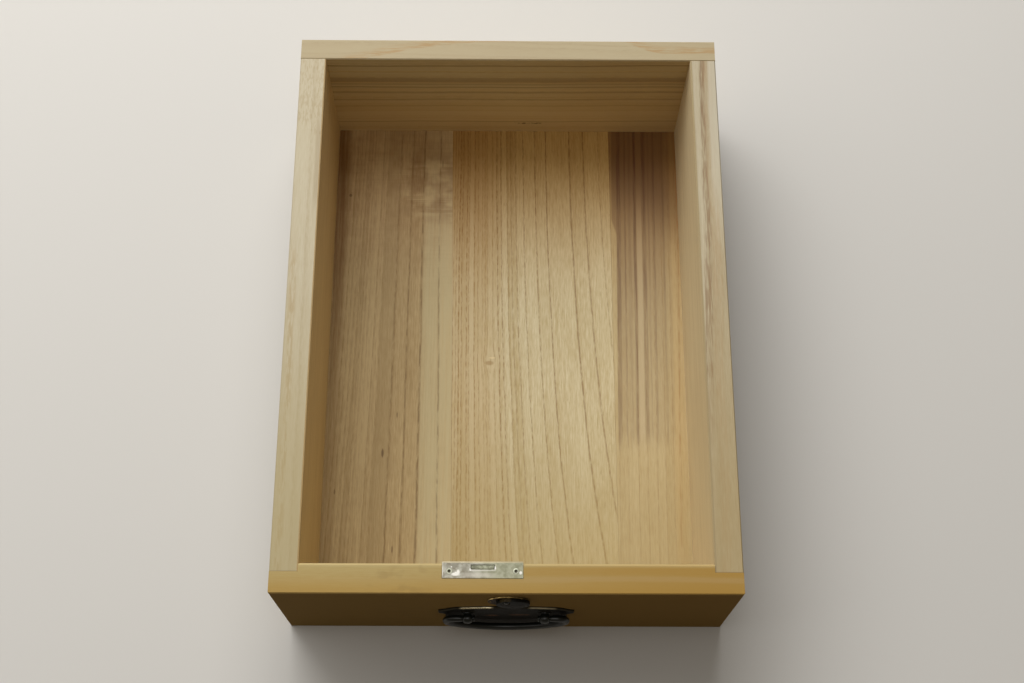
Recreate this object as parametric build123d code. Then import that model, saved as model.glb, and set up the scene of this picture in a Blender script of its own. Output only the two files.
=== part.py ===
"""Drawer of a kiri-wood clothing chest, with its lock, keyhole cover and bail pull.

Millimetres.  X runs across the drawer, Y from the front (-) to the back (+), Z up.
The origin is the centre of the underside.
"""
import os
from math import atan2, cos, degrees, radians, sin

from build123d import *

# ---------------------------------------------------------------- carcass
OVERALL_WIDTH = 330.0
OVERALL_DEPTH = 446.0
OVERALL_HEIGHT = 121.5
FRONT_THICKNESS = 21.5
SIDE_THICKNESS = 20.0
BACK_THICKNESS = 18.0
BOTTOM_THICKNESS = 7.0
ARRIS_CHAMFER = 0.8            # eased outer edges of every board
FRONT_INNER_CHAMFER = 1.6      # eased inner top edge of the front

# Front corners: the sides are housed in the front and held by lapped dovetails
HOUSING_DEPTH = 6.0
TAIL_LENGTH = 8.0              # beyond the housing's shoulder
TAIL_COUNT = 4
PIN_WIDTH = 12.0               # between two tails, at the shoulder
TAIL_FLARE = 1.5               # how much wider each flank of a tail is at its tip

# Back corners: finger joints, the back board has the top and the bottom finger
FINGER_COUNT = 5

# Bottom: three boards glued edge to edge, one glue line runs slightly askew
BOTTOM_LAP = 10.0              # reach of the bottom under the front board
LEFT_BOARD_WIDTH_FRONT = 122.3
LEFT_BOARD_WIDTH_BACK = 117.5
RIGHT_BOARD_WIDTH = 77.7

# Tapered wooden pegs, shaved to eight flats
PEG_SIDES = 8
PEG_HEAD_RADIUS = 1.6
PEG_TIP_RADIUS = 1.1
BOTTOM_PEG_LENGTH = 24.0
CORNER_PEG_LENGTH = 32.0
SIDE_PEG_COUNT = 6             # along each side
CROSS_PEG_COUNT = 3            # along the front and along the back
PEG_ROW_MARGIN = 45.0          # from the end of a side board to its first peg
CROSS_PEG_MARGIN = 67.5        # from the drawer's side to the first peg of a cross row

# ---------------------------------------------------------------- lock
KEYHOLE_BELOW_TOP = 21.0
KEYHOLE_RADIUS = 2.6
KEY_SLOT_WIDTH = 2.4
KEY_SLOT_DROP = 8.0            # from the keyhole's centre to the slot's foot
LOCK_OFFSET = 16.7             # the lock's middle is this far left of the keyhole
LOCK_SHEET = 1.5
SELVEDGE_LENGTH = 56.5
SELVEDGE_WIDTH = 12.1
SELVEDGE_PROUD = 0.3
BACK_PLATE_MARGIN = 7.2        # back plate below the foot of the cap
BACK_PLATE_CORNER = 3.0
FOLD_RADIUS = 1.2
LET_IN_CLEARANCE = 0.15        # around the selvedge in its recess

CAP_DEPTH = 9.0
CAP_WALL = 0.9
CAP_ABOVE_KEYHOLE = 8.0        # shoulder of the wide part above the keyhole's centre
CAP_BELOW_KEY_SLOT = 5.5
CAP_LEFT_ROOM = 6.3            # beyond the spring, for the rivets
CAP_RIGHT_ROOM = 4.6           # beyond the ward
CAP_BOLT_CLEARANCE = 0.6       # beside the bolt, in the cap's tower
MORTISE_CLEARANCE = 0.3

BOLT_WIDTH = 16.2
BOLT_THICKNESS = 3.0
BOLT_SETBACK = 2.7             # bolt's mid-plane, in front of the inner face
BOLT_TRAVEL = 6.3
BOLT_SUNK = 0.25               # bolt's end below the selvedge when drawn back
BOLT_SIDE_CLEARANCE = 0.25
BOLT_FACE_CLEARANCE = 0.2
BOLT_FOOT_CLEARANCE = 3.0      # above the foot of the cap
BOLT_FOOT_WEB = 1.55           # metal below the guide slot
BOLT_END_BEVEL = 0.4
BOLT_TAIL_RISE = 0.6           # top of the tail, which the key moves, above the keyhole's centre
TAIL_KEY_GAP = 4.3             # from the keyhole's centre to the tail
TALON_WIDTH = 2.8
TALON_DEPTH = 3.2

GUIDE_PIN_RADIUS = 1.5
GUIDE_COLLAR_RADIUS = 3.0
GUIDE_CLEARANCE = 0.15
KEY_PIN_RADIUS = 1.3
KEY_PIN_SHORT = 0.4            # pin ends this far behind the cap's front wall
WARD_INNER_RADIUS = 4.0
WARD_WALL = 0.6
WARD_HEIGHT = 1.0
WARD_OPENING = 90.0            # degrees, at the foot
SPRING_THICKNESS = 0.5
SPRING_WIDTH = 3.0
SPRING_BOW = 3.2
SPRING_GAP = 0.2               # to the bolt's edge
RIVET_RADIUS = 1.0
RIVET_HEAD_RADIUS = 1.9
RIVET_HEAD_HEIGHT = 0.4
RIVET_INSET = 2.4              # from the cap's outer faces

SCREW_HEAD_RADIUS = 2.1
SCREW_SHANK_RADIUS = 0.95
SCREW_RECESS_SPAN = 2.2        # across the cross recess
SCREW_RECESS_SLOT = 0.5
SCREW_RECESS_DEPTH = 0.7
TOP_SCREW_LENGTH = 10.0
TOP_SCREW_INSET = 5.0          # from the ends and the front edge of the selvedge
BACK_SCREW_LENGTH = 12.0
BACK_SCREW_INSET = 7.0         # from the sides of the back plate
BACK_SCREW_RISE = 4.0          # above the foot of the back plate

# ---------------------------------------------------------------- keyhole plate and cover
ESCUTCHEON_RADIUS = 13.5
ESCUTCHEON_THICKNESS = 1.2
ESCUTCHEON_BEVEL = 0.4
COVER_RADIUS = 12.0
COVER_RIM = 2.2
COVER_DOME = 2.0               # height of the dome above the rim
COVER_SWING = 29.0             # degrees from hanging, to the right
COVER_EAR_RADIUS = 3.4
COVER_NAIL_CLEARANCE = 0.05    # between the cover and the nails it passes over
PIVOT_INSET = 4.0              # from the rim of the keyhole plate
PIVOT_RADIUS = 1.2
PIVOT_CLEARANCE = 0.05
PIVOT_HEAD_RADIUS = 2.1
PIVOT_HEAD_TOP_RADIUS = 1.3
PIVOT_HEAD_HEIGHT = 0.9
PIVOT_LENGTH = 9.0             # into the front board
NAIL_HALF_WIDTH = 0.5
NAIL_HEAD_RADIUS = 1.0
NAIL_HEAD_HEIGHT = 0.25
NAIL_LENGTH = 8.0
NAIL_INSET = 2.2               # from the rim of the keyhole plate
NAIL_ANGLES = (180, 0)

# ---------------------------------------------------------------- pull
POST_SPACING = 56.0
HANDLE_BELOW_TOP = 57.5
HANDLE_PLATE_REACH = 21.3      # tip of the wing beyond the middle of its post
HANDLE_PLATE_RISE = 15.25      # top of the long bow above the line of the posts
SHOULDER_REACH = 5.0           # where the bow turns down, beyond the post
SHOULDER_RISE = 12.5
HIP_REACH = 15.0               # where the wing begins, beyond the post
HIP_RISE = 7.0
HANDLE_PLATE_DROP = 43.0       # foot of the plate below the same line, behind the grip
FOOT_REACH = 2.5               # where the foot turns up, beyond the post
FOOT_DROP = 38.5
CHEEK_REACH = 16.0             # where the wing ends below, beyond the post
CHEEK_DROP = 14.0
HANDLE_PLATE_TIP_HALF = 2.6
HANDLE_PLATE_THICKNESS = 1.8
HANDLE_PLATE_BEVEL = 0.5
SEAT_RADIUS = 5.6
SEAT_HEIGHT = 0.4
POST_EYE_RADIUS = 3.8
POST_EYE_HALF_WIDTH = 3.3
POST_EYE_BEVEL = 0.7
POST_EYE_LIFT = 0.2            # eye clear of the plate's seat
POST_NECK_RADIUS = 2.5
POST_COLLAR_RADIUS = 3.8
POST_COLLAR_HEIGHT = 0.9
LEG_THICKNESS = 1.9
LEG_WIDTH = 3.8
LEG_BEND_RADIUS = 1.05         # centre line
LEG_REACH = 12.0
POST_HOLE_CLEARANCE = 0.15
WASHER_RADIUS = 6.0
WASHER_THICKNESS = 0.8
BAIL_REACH = 15.8              # centre line beyond the middle of the post
BAIL_DROP = 31.25              # centre line, below the axis
BAIL_CURL_RADIUS = 7.0
BAIL_CORNER_RADIUS = 13.0      # centre line, between the curl and the long grip
BAIL_FLATS = 12                # the bar is hammered round over twelve narrow flats
BAIL_RADIUS = 2.6
BAIL_SHOULDER_RADIUS = 2.2     # where the arm bears against its post
BAIL_PIN_RADIUS = 1.6
BAIL_PIN_CLEARANCE = 0.06
BAIL_SIDE_GAP = 0.3            # bail's shoulder and knob to the post
BAIL_KNOB_RADIUS = 2.5
BAIL_KNOB_LENGTH = 3.4
BAIL_KNOB_BEVEL = 0.8

# ---------------------------------------------------------------- places that follow
TOP = OVERALL_HEIGHT
HALF_WIDTH = OVERALL_WIDTH / 2
INNER_HALF_WIDTH = HALF_WIDTH - SIDE_THICKNESS
FRONT_FACE = -OVERALL_DEPTH / 2
BACK_FACE = OVERALL_DEPTH / 2
INNER_FRONT = FRONT_FACE + FRONT_THICKNESS
INNER_BACK = BACK_FACE - BACK_THICKNESS
HOUSING_SHOULDER = INNER_FRONT - HOUSING_DEPTH
TAIL_TIP = HOUSING_SHOULDER - TAIL_LENGTH
BOTTOM_FRONT = INNER_FRONT - BOTTOM_LAP
WALL_HEIGHT = TOP - BOTTOM_THICKNESS

LOCK_X = -LOCK_OFFSET
KEYHOLE_Z = TOP - KEYHOLE_BELOW_TOP
SELVEDGE_TOP = TOP + SELVEDGE_PROUD
SELVEDGE_UNDER = SELVEDGE_TOP - LOCK_SHEET
SELVEDGE_FRONT = INNER_FRONT + LOCK_SHEET - SELVEDGE_WIDTH
PLATE_LEFT = LOCK_X - SELVEDGE_LENGTH / 2
PLATE_RIGHT = LOCK_X + SELVEDGE_LENGTH / 2
BOLT_Y = INNER_FRONT - BOLT_SETBACK
BOLT_LEFT = LOCK_X - BOLT_WIDTH / 2
BOLT_RIGHT = LOCK_X + BOLT_WIDTH / 2
BOLT_TALON_Z = KEYHOLE_Z - BOLT_TRAVEL / 2
SPRING_ROOT = BOLT_LEFT - SPRING_GAP - SPRING_BOW - SPRING_THICKNESS
WARD_OUTER_RADIUS = WARD_INNER_RADIUS + WARD_WALL
CAP_FRONT = INNER_FRONT - CAP_DEPTH
CAP_LEFT = SPRING_ROOT - CAP_LEFT_ROOM
CAP_RIGHT = WARD_OUTER_RADIUS + CAP_RIGHT_ROOM
CAP_SHOULDER = KEYHOLE_Z + CAP_ABOVE_KEYHOLE
CAP_FOOT = KEYHOLE_Z - KEY_SLOT_DROP - CAP_BELOW_KEY_SLOT
CAP_TOWER_INSIDE = BOLT_WIDTH / 2 + CAP_BOLT_CLEARANCE
BACK_PLATE_FOOT = CAP_FOOT - BACK_PLATE_MARGIN
BOLT_FOOT = CAP_FOOT + BOLT_FOOT_CLEARANCE
GUIDE_SLOT_RADIUS = GUIDE_PIN_RADIUS + GUIDE_CLEARANCE
GUIDE_PIN_Z = BOLT_FOOT + BOLT_FOOT_WEB + GUIDE_SLOT_RADIUS + BOLT_TRAVEL

COVER_GAP = NAIL_HEAD_HEIGHT + COVER_NAIL_CLEARANCE
COVER_BACK = FRONT_FACE - ESCUTCHEON_THICKNESS - COVER_GAP
COVER_HANG = ESCUTCHEON_RADIUS - PIVOT_INSET
COVER_PIVOT_Z = KEYHOLE_Z + COVER_HANG
HANDLE_Z = TOP - HANDLE_BELOW_TOP
POST_SEAT = FRONT_FACE - HANDLE_PLATE_THICKNESS - SEAT_HEIGHT
BAIL_Y = POST_SEAT - POST_EYE_LIFT - POST_EYE_RADIUS
POST_X = POST_SPACING / 2
BAIL_HALF_WIDTH = POST_X + BAIL_REACH


# ---------------------------------------------------------------- plain shapes
def block(x_low, x_high, y_low, y_high, z_low, z_high):
    """A box between two corners."""
    middle = ((x_low + x_high) / 2, (y_low + y_high) / 2, (z_low + z_high) / 2)
    return Pos(*middle) * Box(x_high - x_low, y_high - y_low, z_high - z_low)


def rod(start, direction, radius, length):
    """A round rod from its start along a direction."""
    return extrude(Plane(origin=start, z_dir=direction) * Circle(radius), length)


def cone(start, direction, start_radius, end_radius, length):
    """A tapered rod from its start along a direction."""
    along = (Align.CENTER, Align.CENTER, Align.MIN)
    return Plane(origin=start, z_dir=direction) * Cone(start_radius, end_radius, length, align=along)


def facing(outline, y_back, thickness):
    """Extrude an outline drawn in X and Z from y_back towards the viewer at the front."""
    plane = Plane(origin=(0, y_back, 0), x_dir=(1, 0, 0), z_dir=(0, -1, 0))
    return extrude(plane * outline, thickness)


def evenly(low, high, count):
    """Evenly spaced places from low to high, both included."""
    return [low + (high - low) * i / (count - 1) for i in range(count)]


def ease(solid, axis, *places):
    """Chamfer the long edges along one axis that pass through the given places."""
    edges = [e for e in solid.edges().filter_by(axis) if any(near(e, p) for p in places)]
    return chamfer(edges, ARRIS_CHAMFER)


def near(edge, place):
    """True where an edge passes through a place; None leaves a coordinate free."""
    middle = edge.center()
    return all(want is None or abs(have - want) < 0.01 for have, want in zip(middle, place))


# ---------------------------------------------------------------- joints of the carcass
def dovetails():
    """The tails of the left side board, one solid each, from the shoulder to their tips."""
    pitch = WALL_HEIGHT / TAIL_COUNT
    tails = []
    for i in range(TAIL_COUNT):
        middle = BOTTOM_THICKNESS + pitch * (i + 0.5)
        root = (pitch - PIN_WIDTH) / 2
        tip = root + TAIL_FLARE
        outline = Polygon(
            (HOUSING_SHOULDER, middle - root),
            (HOUSING_SHOULDER, middle + root),
            (TAIL_TIP, middle + tip),
            (TAIL_TIP, middle - tip),
            align=None,
        )
        tails.append(extrude(Plane.YZ.offset(-HALF_WIDTH) * outline, SIDE_THICKNESS))
    return tails


def side_fingers():
    """The fingers of the left side board at the back corner."""
    height = WALL_HEIGHT / FINGER_COUNT
    return [
        block(-HALF_WIDTH, -INNER_HALF_WIDTH, INNER_BACK, BACK_FACE,
              BOTTOM_THICKNESS + height * i, BOTTOM_THICKNESS + height * (i + 1))
        for i in range(1, FINGER_COUNT, 2)
    ]


def peg(x, y, z, direction, length):
    """A shaved, tapered peg, its head flush with the face it is driven through."""
    head = Plane(origin=(x, y, z), z_dir=direction)
    ends = ((0, PEG_HEAD_RADIUS), (length, PEG_TIP_RADIUS))
    return loft([head.offset(depth) * RegularPolygon(radius, PEG_SIDES) for depth, radius in ends])


def bottom_pegs():
    """Pegs driven up through the bottom into the walls."""
    side_x = HALF_WIDTH - SIDE_THICKNESS / 2
    along = evenly(INNER_FRONT + PEG_ROW_MARGIN, BACK_FACE - PEG_ROW_MARGIN, SIDE_PEG_COUNT)
    across = evenly(-HALF_WIDTH + CROSS_PEG_MARGIN, HALF_WIDTH - CROSS_PEG_MARGIN, CROSS_PEG_COUNT)
    places = [(x, y) for x in (-side_x, side_x) for y in along]
    places += [(x, BOTTOM_FRONT + BOTTOM_LAP / 2) for x in across]
    places += [(x, BACK_FACE - BACK_THICKNESS / 2) for x in across]
    return [peg(x, y, 0, (0, 0, 1), BOTTOM_PEG_LENGTH) for x, y in places]


def back_corner_pegs():
    """Pegs through the fingers of both back corners, each into the other board's end grain."""
    height = WALL_HEIGHT / FINGER_COUNT
    side_x = HALF_WIDTH - SIDE_THICKNESS / 2
    pegs = []
    for i in range(FINGER_COUNT):
        z = BOTTOM_THICKNESS + height * (i + 0.5)
        for hand in (-1, 1):
            if i % 2:
                y = BACK_FACE - BACK_THICKNESS / 2
                pegs.append(peg(hand * HALF_WIDTH, y, z, (-hand, 0, 0), CORNER_PEG_LENGTH))
            else:
                pegs.append(peg(hand * side_x, BACK_FACE, z, (0, -1, 0), CORNER_PEG_LENGTH))
    return pegs


def side_board(pegs):
    """Left side board: housed and dovetailed at the front, fingers at the back."""
    board = block(-HALF_WIDTH, -INNER_HALF_WIDTH, HOUSING_SHOULDER, INNER_BACK, BOTTOM_THICKNESS, TOP)
    board = ease(board, Axis.Y, (-HALF_WIDTH, None, TOP), (-INNER_HALF_WIDTH, None, TOP))
    board = board + dovetails() + side_fingers()
    return board - pegs


def back_board(pegs):
    """Back board: full width, notched for the fingers of both sides."""
    board = block(-HALF_WIDTH, HALF_WIDTH, INNER_BACK, BACK_FACE, BOTTOM_THICKNESS, TOP)
    board = ease(board, Axis.X, (None, BACK_FACE, TOP), (None, INNER_BACK, TOP))
    left = side_fingers()
    right = [mirror(finger, about=Plane.YZ) for finger in left]
    return board - left - right - pegs


def bottom_boards(pegs):
    """Left, middle and right boards of the bottom."""
    left_joint_front = -HALF_WIDTH + LEFT_BOARD_WIDTH_FRONT
    left_joint_back = -HALF_WIDTH + LEFT_BOARD_WIDTH_BACK
    right_joint = HALF_WIDTH - RIGHT_BOARD_WIDTH
    joints = (
        (-HALF_WIDTH, -HALF_WIDTH),
        (left_joint_front, left_joint_back),
        (right_joint, right_joint),
        (HALF_WIDTH, HALF_WIDTH),
    )
    boards = []
    for (left_front, left_back), (right_front, right_back) in zip(joints, joints[1:]):
        outline = Polygon(
            (left_front, BOTTOM_FRONT),
            (right_front, BOTTOM_FRONT),
            (right_back, BACK_FACE),
            (left_back, BACK_FACE),
            align=None,
        )
        boards.append(extrude(outline, BOTTOM_THICKNESS) - pegs)
    return boards


# ---------------------------------------------------------------- lock
def cap_outline():
    """Outline of the lock's cap in X and Z: a narrow tower on a wide box."""
    tower = CAP_TOWER_INSIDE + CAP_WALL
    return Polygon(
        (CAP_LEFT, CAP_FOOT), (CAP_RIGHT, CAP_FOOT),
        (CAP_RIGHT, CAP_SHOULDER), (LOCK_X + tower, CAP_SHOULDER),
        (LOCK_X + tower, SELVEDGE_UNDER), (LOCK_X - tower, SELVEDGE_UNDER),
        (LOCK_X - tower, CAP_SHOULDER), (CAP_LEFT, CAP_SHOULDER), align=None,
    )


def keyhole_outline():
    """Keyhole in X and Z: a round hole with a slot below it."""
    slot = Pos(0, KEYHOLE_Z - KEY_SLOT_DROP / 2) * Rectangle(KEY_SLOT_WIDTH, KEY_SLOT_DROP)
    return Pos(0, KEYHOLE_Z) * Circle(KEYHOLE_RADIUS) + slot


def cap_rivets():
    """Rivets that hold the cap to the back plate, their heads inside the drawer."""
    left = CAP_LEFT + RIVET_INSET
    right = CAP_RIGHT - RIVET_INSET
    low = CAP_FOOT + RIVET_INSET
    high = CAP_SHOULDER - RIVET_INSET
    rivets = []
    for x, z in ((left, low), (left, high), (right, low)):
        shank = rod((x, CAP_FRONT, z), (0, 1, 0), RIVET_RADIUS, CAP_DEPTH + LOCK_SHEET)
        head = rod((x, INNER_FRONT + LOCK_SHEET, z), (0, 1, 0), RIVET_HEAD_RADIUS, RIVET_HEAD_HEIGHT)
        rivets.append(shank + head)
    return rivets


def lock_cap(rivets):
    """Open-backed box over the works, with the keyhole in its front wall."""
    inside = offset(cap_outline(), -CAP_WALL, kind=Kind.INTERSECTION)
    cap = facing(cap_outline(), INNER_FRONT, CAP_DEPTH) - facing(inside, INNER_FRONT, CAP_DEPTH - CAP_WALL)
    mouth = block(LOCK_X - CAP_TOWER_INSIDE, LOCK_X + CAP_TOWER_INSIDE, CAP_FRONT + CAP_WALL, INNER_FRONT,
                  SELVEDGE_UNDER - 2 * CAP_WALL, SELVEDGE_UNDER)
    return cap - mouth - facing(keyhole_outline(), CAP_FRONT + CAP_WALL, CAP_WALL) - rivets


def lock_screw(place, direction, length):
    """Countersunk screw and its cross recess, the head as deep as the sheet and flush with it."""
    head = cone(place, direction, SCREW_HEAD_RADIUS, SCREW_SHANK_RADIUS, LOCK_SHEET)
    shank = rod(place, direction, SCREW_SHANK_RADIUS, length)
    cross = Rectangle(SCREW_RECESS_SPAN, SCREW_RECESS_SLOT) + Rectangle(SCREW_RECESS_SLOT, SCREW_RECESS_SPAN)
    recess = extrude(Plane(origin=place, z_dir=direction) * cross, SCREW_RECESS_DEPTH)
    return head + shank, recess


def top_screws():
    """The two screws in the selvedge: whole bodies, and their recesses."""
    y = SELVEDGE_FRONT + TOP_SCREW_INSET
    ends = (PLATE_LEFT + TOP_SCREW_INSET, PLATE_RIGHT - TOP_SCREW_INSET)
    return [lock_screw((x, y, SELVEDGE_TOP), (0, 0, -1), TOP_SCREW_LENGTH) for x in ends]


def back_screws():
    """The two screws through the back plate, below the mortise."""
    y = INNER_FRONT + LOCK_SHEET
    z = BACK_PLATE_FOOT + BACK_SCREW_RISE
    ends = (PLATE_LEFT + BACK_SCREW_INSET, PLATE_RIGHT - BACK_SCREW_INSET)
    return [lock_screw((x, y, z), (0, -1, 0), BACK_SCREW_LENGTH) for x in ends]


def lock_plate(fixings):
    """Folded sheet: the selvedge on the top edge and the back plate on the inner face."""
    back_face = INNER_FRONT + LOCK_SHEET
    selvedge = block(PLATE_LEFT, PLATE_RIGHT, SELVEDGE_FRONT, back_face, SELVEDGE_UNDER, SELVEDGE_TOP)
    back = block(PLATE_LEFT, PLATE_RIGHT, INNER_FRONT, back_face, BACK_PLATE_FOOT, SELVEDGE_TOP)
    feet = [e for e in back.edges().filter_by(Axis.Y) if near(e, (None, None, BACK_PLATE_FOOT))]
    sheet = selvedge + fillet(feet, BACK_PLATE_CORNER)
    fold = [e for e in sheet.edges().filter_by(Axis.X)
            if near(e, (None, back_face, SELVEDGE_TOP))]
    sheet = fillet(fold, FOLD_RADIUS)
    slot_x = BOLT_WIDTH / 2 + BOLT_SIDE_CLEARANCE
    slot_y = BOLT_THICKNESS / 2 + BOLT_FACE_CLEARANCE
    slot = block(LOCK_X - slot_x, LOCK_X + slot_x, BOLT_Y - slot_y, BOLT_Y + slot_y,
                 SELVEDGE_UNDER, SELVEDGE_TOP)
    return sheet - slot - fixings


def lock_bolt():
    """Bolt: an upright bar with a guide slot, and a tail with the talon that the key moves."""
    end = SELVEDGE_TOP - BOLT_SUNK
    tail_top = KEYHOLE_Z + BOLT_TAIL_RISE
    bar = Polygon(
        (BOLT_LEFT, BOLT_FOOT), (-TAIL_KEY_GAP, BOLT_FOOT), (-TAIL_KEY_GAP, tail_top), (BOLT_RIGHT, tail_top),
        (BOLT_RIGHT, end), (BOLT_LEFT, end), align=None,
    )
    guide = Pos(LOCK_X, GUIDE_PIN_Z - BOLT_TRAVEL / 2) * SlotCenterToCenter(
        BOLT_TRAVEL, 2 * GUIDE_SLOT_RADIUS, rotation=90)
    talon_x = -TAIL_KEY_GAP - TALON_DEPTH / 2
    talon = Pos(talon_x, BOLT_TALON_Z) * Rectangle(TALON_DEPTH, TALON_WIDTH)
    solid = facing(bar - guide - talon, BOLT_Y + BOLT_THICKNESS / 2, BOLT_THICKNESS)
    top_edges = [e for e in solid.edges() if near(e, (None, None, end))]
    return chamfer(top_edges, BOLT_END_BEVEL)


def bolt_guide_pin():
    """Pin in the bolt's slot, with a collar that spaces the bolt from the back plate."""
    place = (LOCK_X, INNER_FRONT, GUIDE_PIN_Z)
    collar = BOLT_SETBACK - BOLT_THICKNESS / 2 - BOLT_FACE_CLEARANCE / 2
    pin = rod(place, (0, -1, 0), GUIDE_PIN_RADIUS, CAP_DEPTH - CAP_WALL)
    return pin + rod(place, (0, -1, 0), GUIDE_COLLAR_RADIUS, collar)


def bolt_spring():
    """Bowed strip of spring beside the bolt, standing on the floor of the cap."""
    touch = BOLT_LEFT - SPRING_GAP
    low = CAP_FOOT + CAP_WALL
    high = CAP_SHOULDER - CAP_WALL
    middle = (low + high) / 2
    outer = ThreePointArc((SPRING_ROOT, low), (touch, middle), (SPRING_ROOT, high))
    inner = ThreePointArc((SPRING_ROOT, low), (touch - SPRING_THICKNESS, middle), (SPRING_ROOT, high))
    strip = make_face(outer + inner)
    return facing(strip, BOLT_Y + SPRING_WIDTH / 2, SPRING_WIDTH)


def key_pin():
    """Pin that a barrel key turns on, from the back plate into the keyhole of the cap."""
    length = CAP_DEPTH - CAP_WALL - KEY_PIN_SHORT
    return rod((0, INNER_FRONT, KEYHOLE_Z), (0, -1, 0), KEY_PIN_RADIUS, length)


def key_ward():
    """Open ring round the key pin, which only the right key clears."""
    ring = Circle(WARD_OUTER_RADIUS) - Circle(WARD_INNER_RADIUS)
    half = radians(WARD_OPENING / 2)
    reach = 2 * WARD_OUTER_RADIUS
    wedge = Polygon((0, 0), (-reach * sin(half), -reach * cos(half)), (reach * sin(half), -reach * cos(half)),
                    align=None)
    return facing(Pos(0, KEYHOLE_Z) * (ring - wedge), INNER_FRONT, WARD_HEIGHT)


# ---------------------------------------------------------------- keyhole plate and cover
def escutcheon_nails():
    """Round-headed nails with square shanks at both sides of the keyhole plate."""
    nails = []
    face = FRONT_FACE - ESCUTCHEON_THICKNESS
    for angle in NAIL_ANGLES:
        x = (ESCUTCHEON_RADIUS - NAIL_INSET) * cos(radians(angle))
        z = KEYHOLE_Z + (ESCUTCHEON_RADIUS - NAIL_INSET) * sin(radians(angle))
        shank = block(x - NAIL_HALF_WIDTH, x + NAIL_HALF_WIDTH, face, face + NAIL_LENGTH,
                      z - NAIL_HALF_WIDTH, z + NAIL_HALF_WIDTH)
        nails.append(shank + rod((x, face, z), (0, -1, 0), NAIL_HEAD_RADIUS, NAIL_HEAD_HEIGHT))
    return nails


def keyhole_escutcheon(fixings):
    """Round plate with a bevelled rim and the keyhole."""
    plate = rod((0, FRONT_FACE, KEYHOLE_Z), (0, -1, 0), ESCUTCHEON_RADIUS, ESCUTCHEON_THICKNESS)
    rim = plate.faces().sort_by(Axis.Y).first.edges()
    plate = chamfer(rim, ESCUTCHEON_BEVEL)
    return plate - facing(keyhole_outline(), FRONT_FACE, ESCUTCHEON_THICKNESS) - fixings


def keyhole_cover():
    """Domed round cover with an ear for its rivet, swung aside as it is left in use."""
    height = COVER_RIM + COVER_DOME
    crown = TangentArc((0, height), (COVER_RADIUS, COVER_RIM), tangent=(1, 0))
    back = Polyline((0, height), (0, 0), (COVER_RADIUS, 0), (COVER_RADIUS, COVER_RIM))
    disc = revolve(Plane.XZ * make_face(back + crown), Axis.Z)
    ear = extrude(Pos(0, COVER_HANG) * Circle(COVER_EAR_RADIUS), COVER_RIM)
    hole = extrude(Pos(0, COVER_HANG) * Circle(PIVOT_RADIUS + PIVOT_CLEARANCE), height)
    head_room = extrude(Pos(0, COVER_HANG, COVER_RIM) * Circle(PIVOT_HEAD_RADIUS + COVER_GAP), height)
    hanging = Pos(0, -COVER_HANG, 0) * (disc + ear - hole - head_room)
    stand = Plane(origin=(0, COVER_BACK, COVER_PIVOT_Z), x_dir=(1, 0, 0), z_dir=(0, -1, 0))
    return stand * (Rot(0, 0, COVER_SWING) * hanging)


def cover_rivet():
    """Rivet through the cover's ear and the plate into the front board."""
    face = COVER_BACK - COVER_RIM - COVER_GAP
    shank_length = PIVOT_LENGTH + (FRONT_FACE - face)
    shank = rod((0, face, COVER_PIVOT_Z), (0, 1, 0), PIVOT_RADIUS, shank_length)
    head = cone((0, face, COVER_PIVOT_Z), (0, -1, 0), PIVOT_HEAD_RADIUS, PIVOT_HEAD_TOP_RADIUS,
                PIVOT_HEAD_HEIGHT)
    return shank + head


# ---------------------------------------------------------------- pull
def handle_plate_outline():
    """Bowed plate with a small wing at each side and a deep foot, in X and Z from the line of the posts."""
    crown = (0, HANDLE_PLATE_RISE)
    shoulder = (POST_X + SHOULDER_REACH, SHOULDER_RISE)
    hip = (POST_X + HIP_REACH, HIP_RISE)
    tip = (POST_X + HANDLE_PLATE_REACH, HANDLE_PLATE_TIP_HALF)
    tip_below = (tip[0], -HANDLE_PLATE_TIP_HALF)
    cheek = (POST_X + CHEEK_REACH, -CHEEK_DROP)
    heel = (POST_X + FOOT_REACH, -FOOT_DROP)
    foot = (0, -HANDLE_PLATE_DROP)
    bow = TangentArc(crown, shoulder, tangent=(1, 0))
    flank = TangentArc(shoulder, hip, tangent=bow % 1)
    wing = TangentArc(hip, tip, tangent=flank % 1)
    sole = TangentArc(foot, heel, tangent=(1, 0))
    jaw = TangentArc(heel, cheek, tangent=sole % 1)
    wing_below = TangentArc(cheek, tip_below, tangent=jaw % 1)
    half = make_face(bow + flank + wing + Line(tip, tip_below) + wing_below + jaw + sole + Line(foot, crown))
    return half + mirror(half, about=Plane.YZ)


def handle_plate():
    """Plate behind the pull, bevelled all round, with a raised seat under each post."""
    front = FRONT_FACE - HANDLE_PLATE_THICKNESS
    plate = facing(Pos(0, HANDLE_Z) * handle_plate_outline(), FRONT_FACE, HANDLE_PLATE_THICKNESS)
    rim = plate.faces().sort_by(Axis.Y).first.edges()
    plate = chamfer(rim, HANDLE_PLATE_BEVEL)
    for x in (-POST_X, POST_X):
        seat = cone((x, front, HANDLE_Z), (0, -1, 0), SEAT_RADIUS, SEAT_RADIUS - SEAT_HEIGHT, SEAT_HEIGHT)
        plate = plate + seat
    return plate - post_holes(POST_SEAT, FRONT_FACE)


def post_holes(y_low, y_high):
    """Square holes that the legs of both posts pass through."""
    side = LEG_THICKNESS + POST_HOLE_CLEARANCE
    rise = LEG_WIDTH / 2 + POST_HOLE_CLEARANCE
    return [block(x - side, x + side, y_low, y_high, HANDLE_Z - rise, HANDLE_Z + rise)
            for x in (-POST_X, POST_X)]


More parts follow.
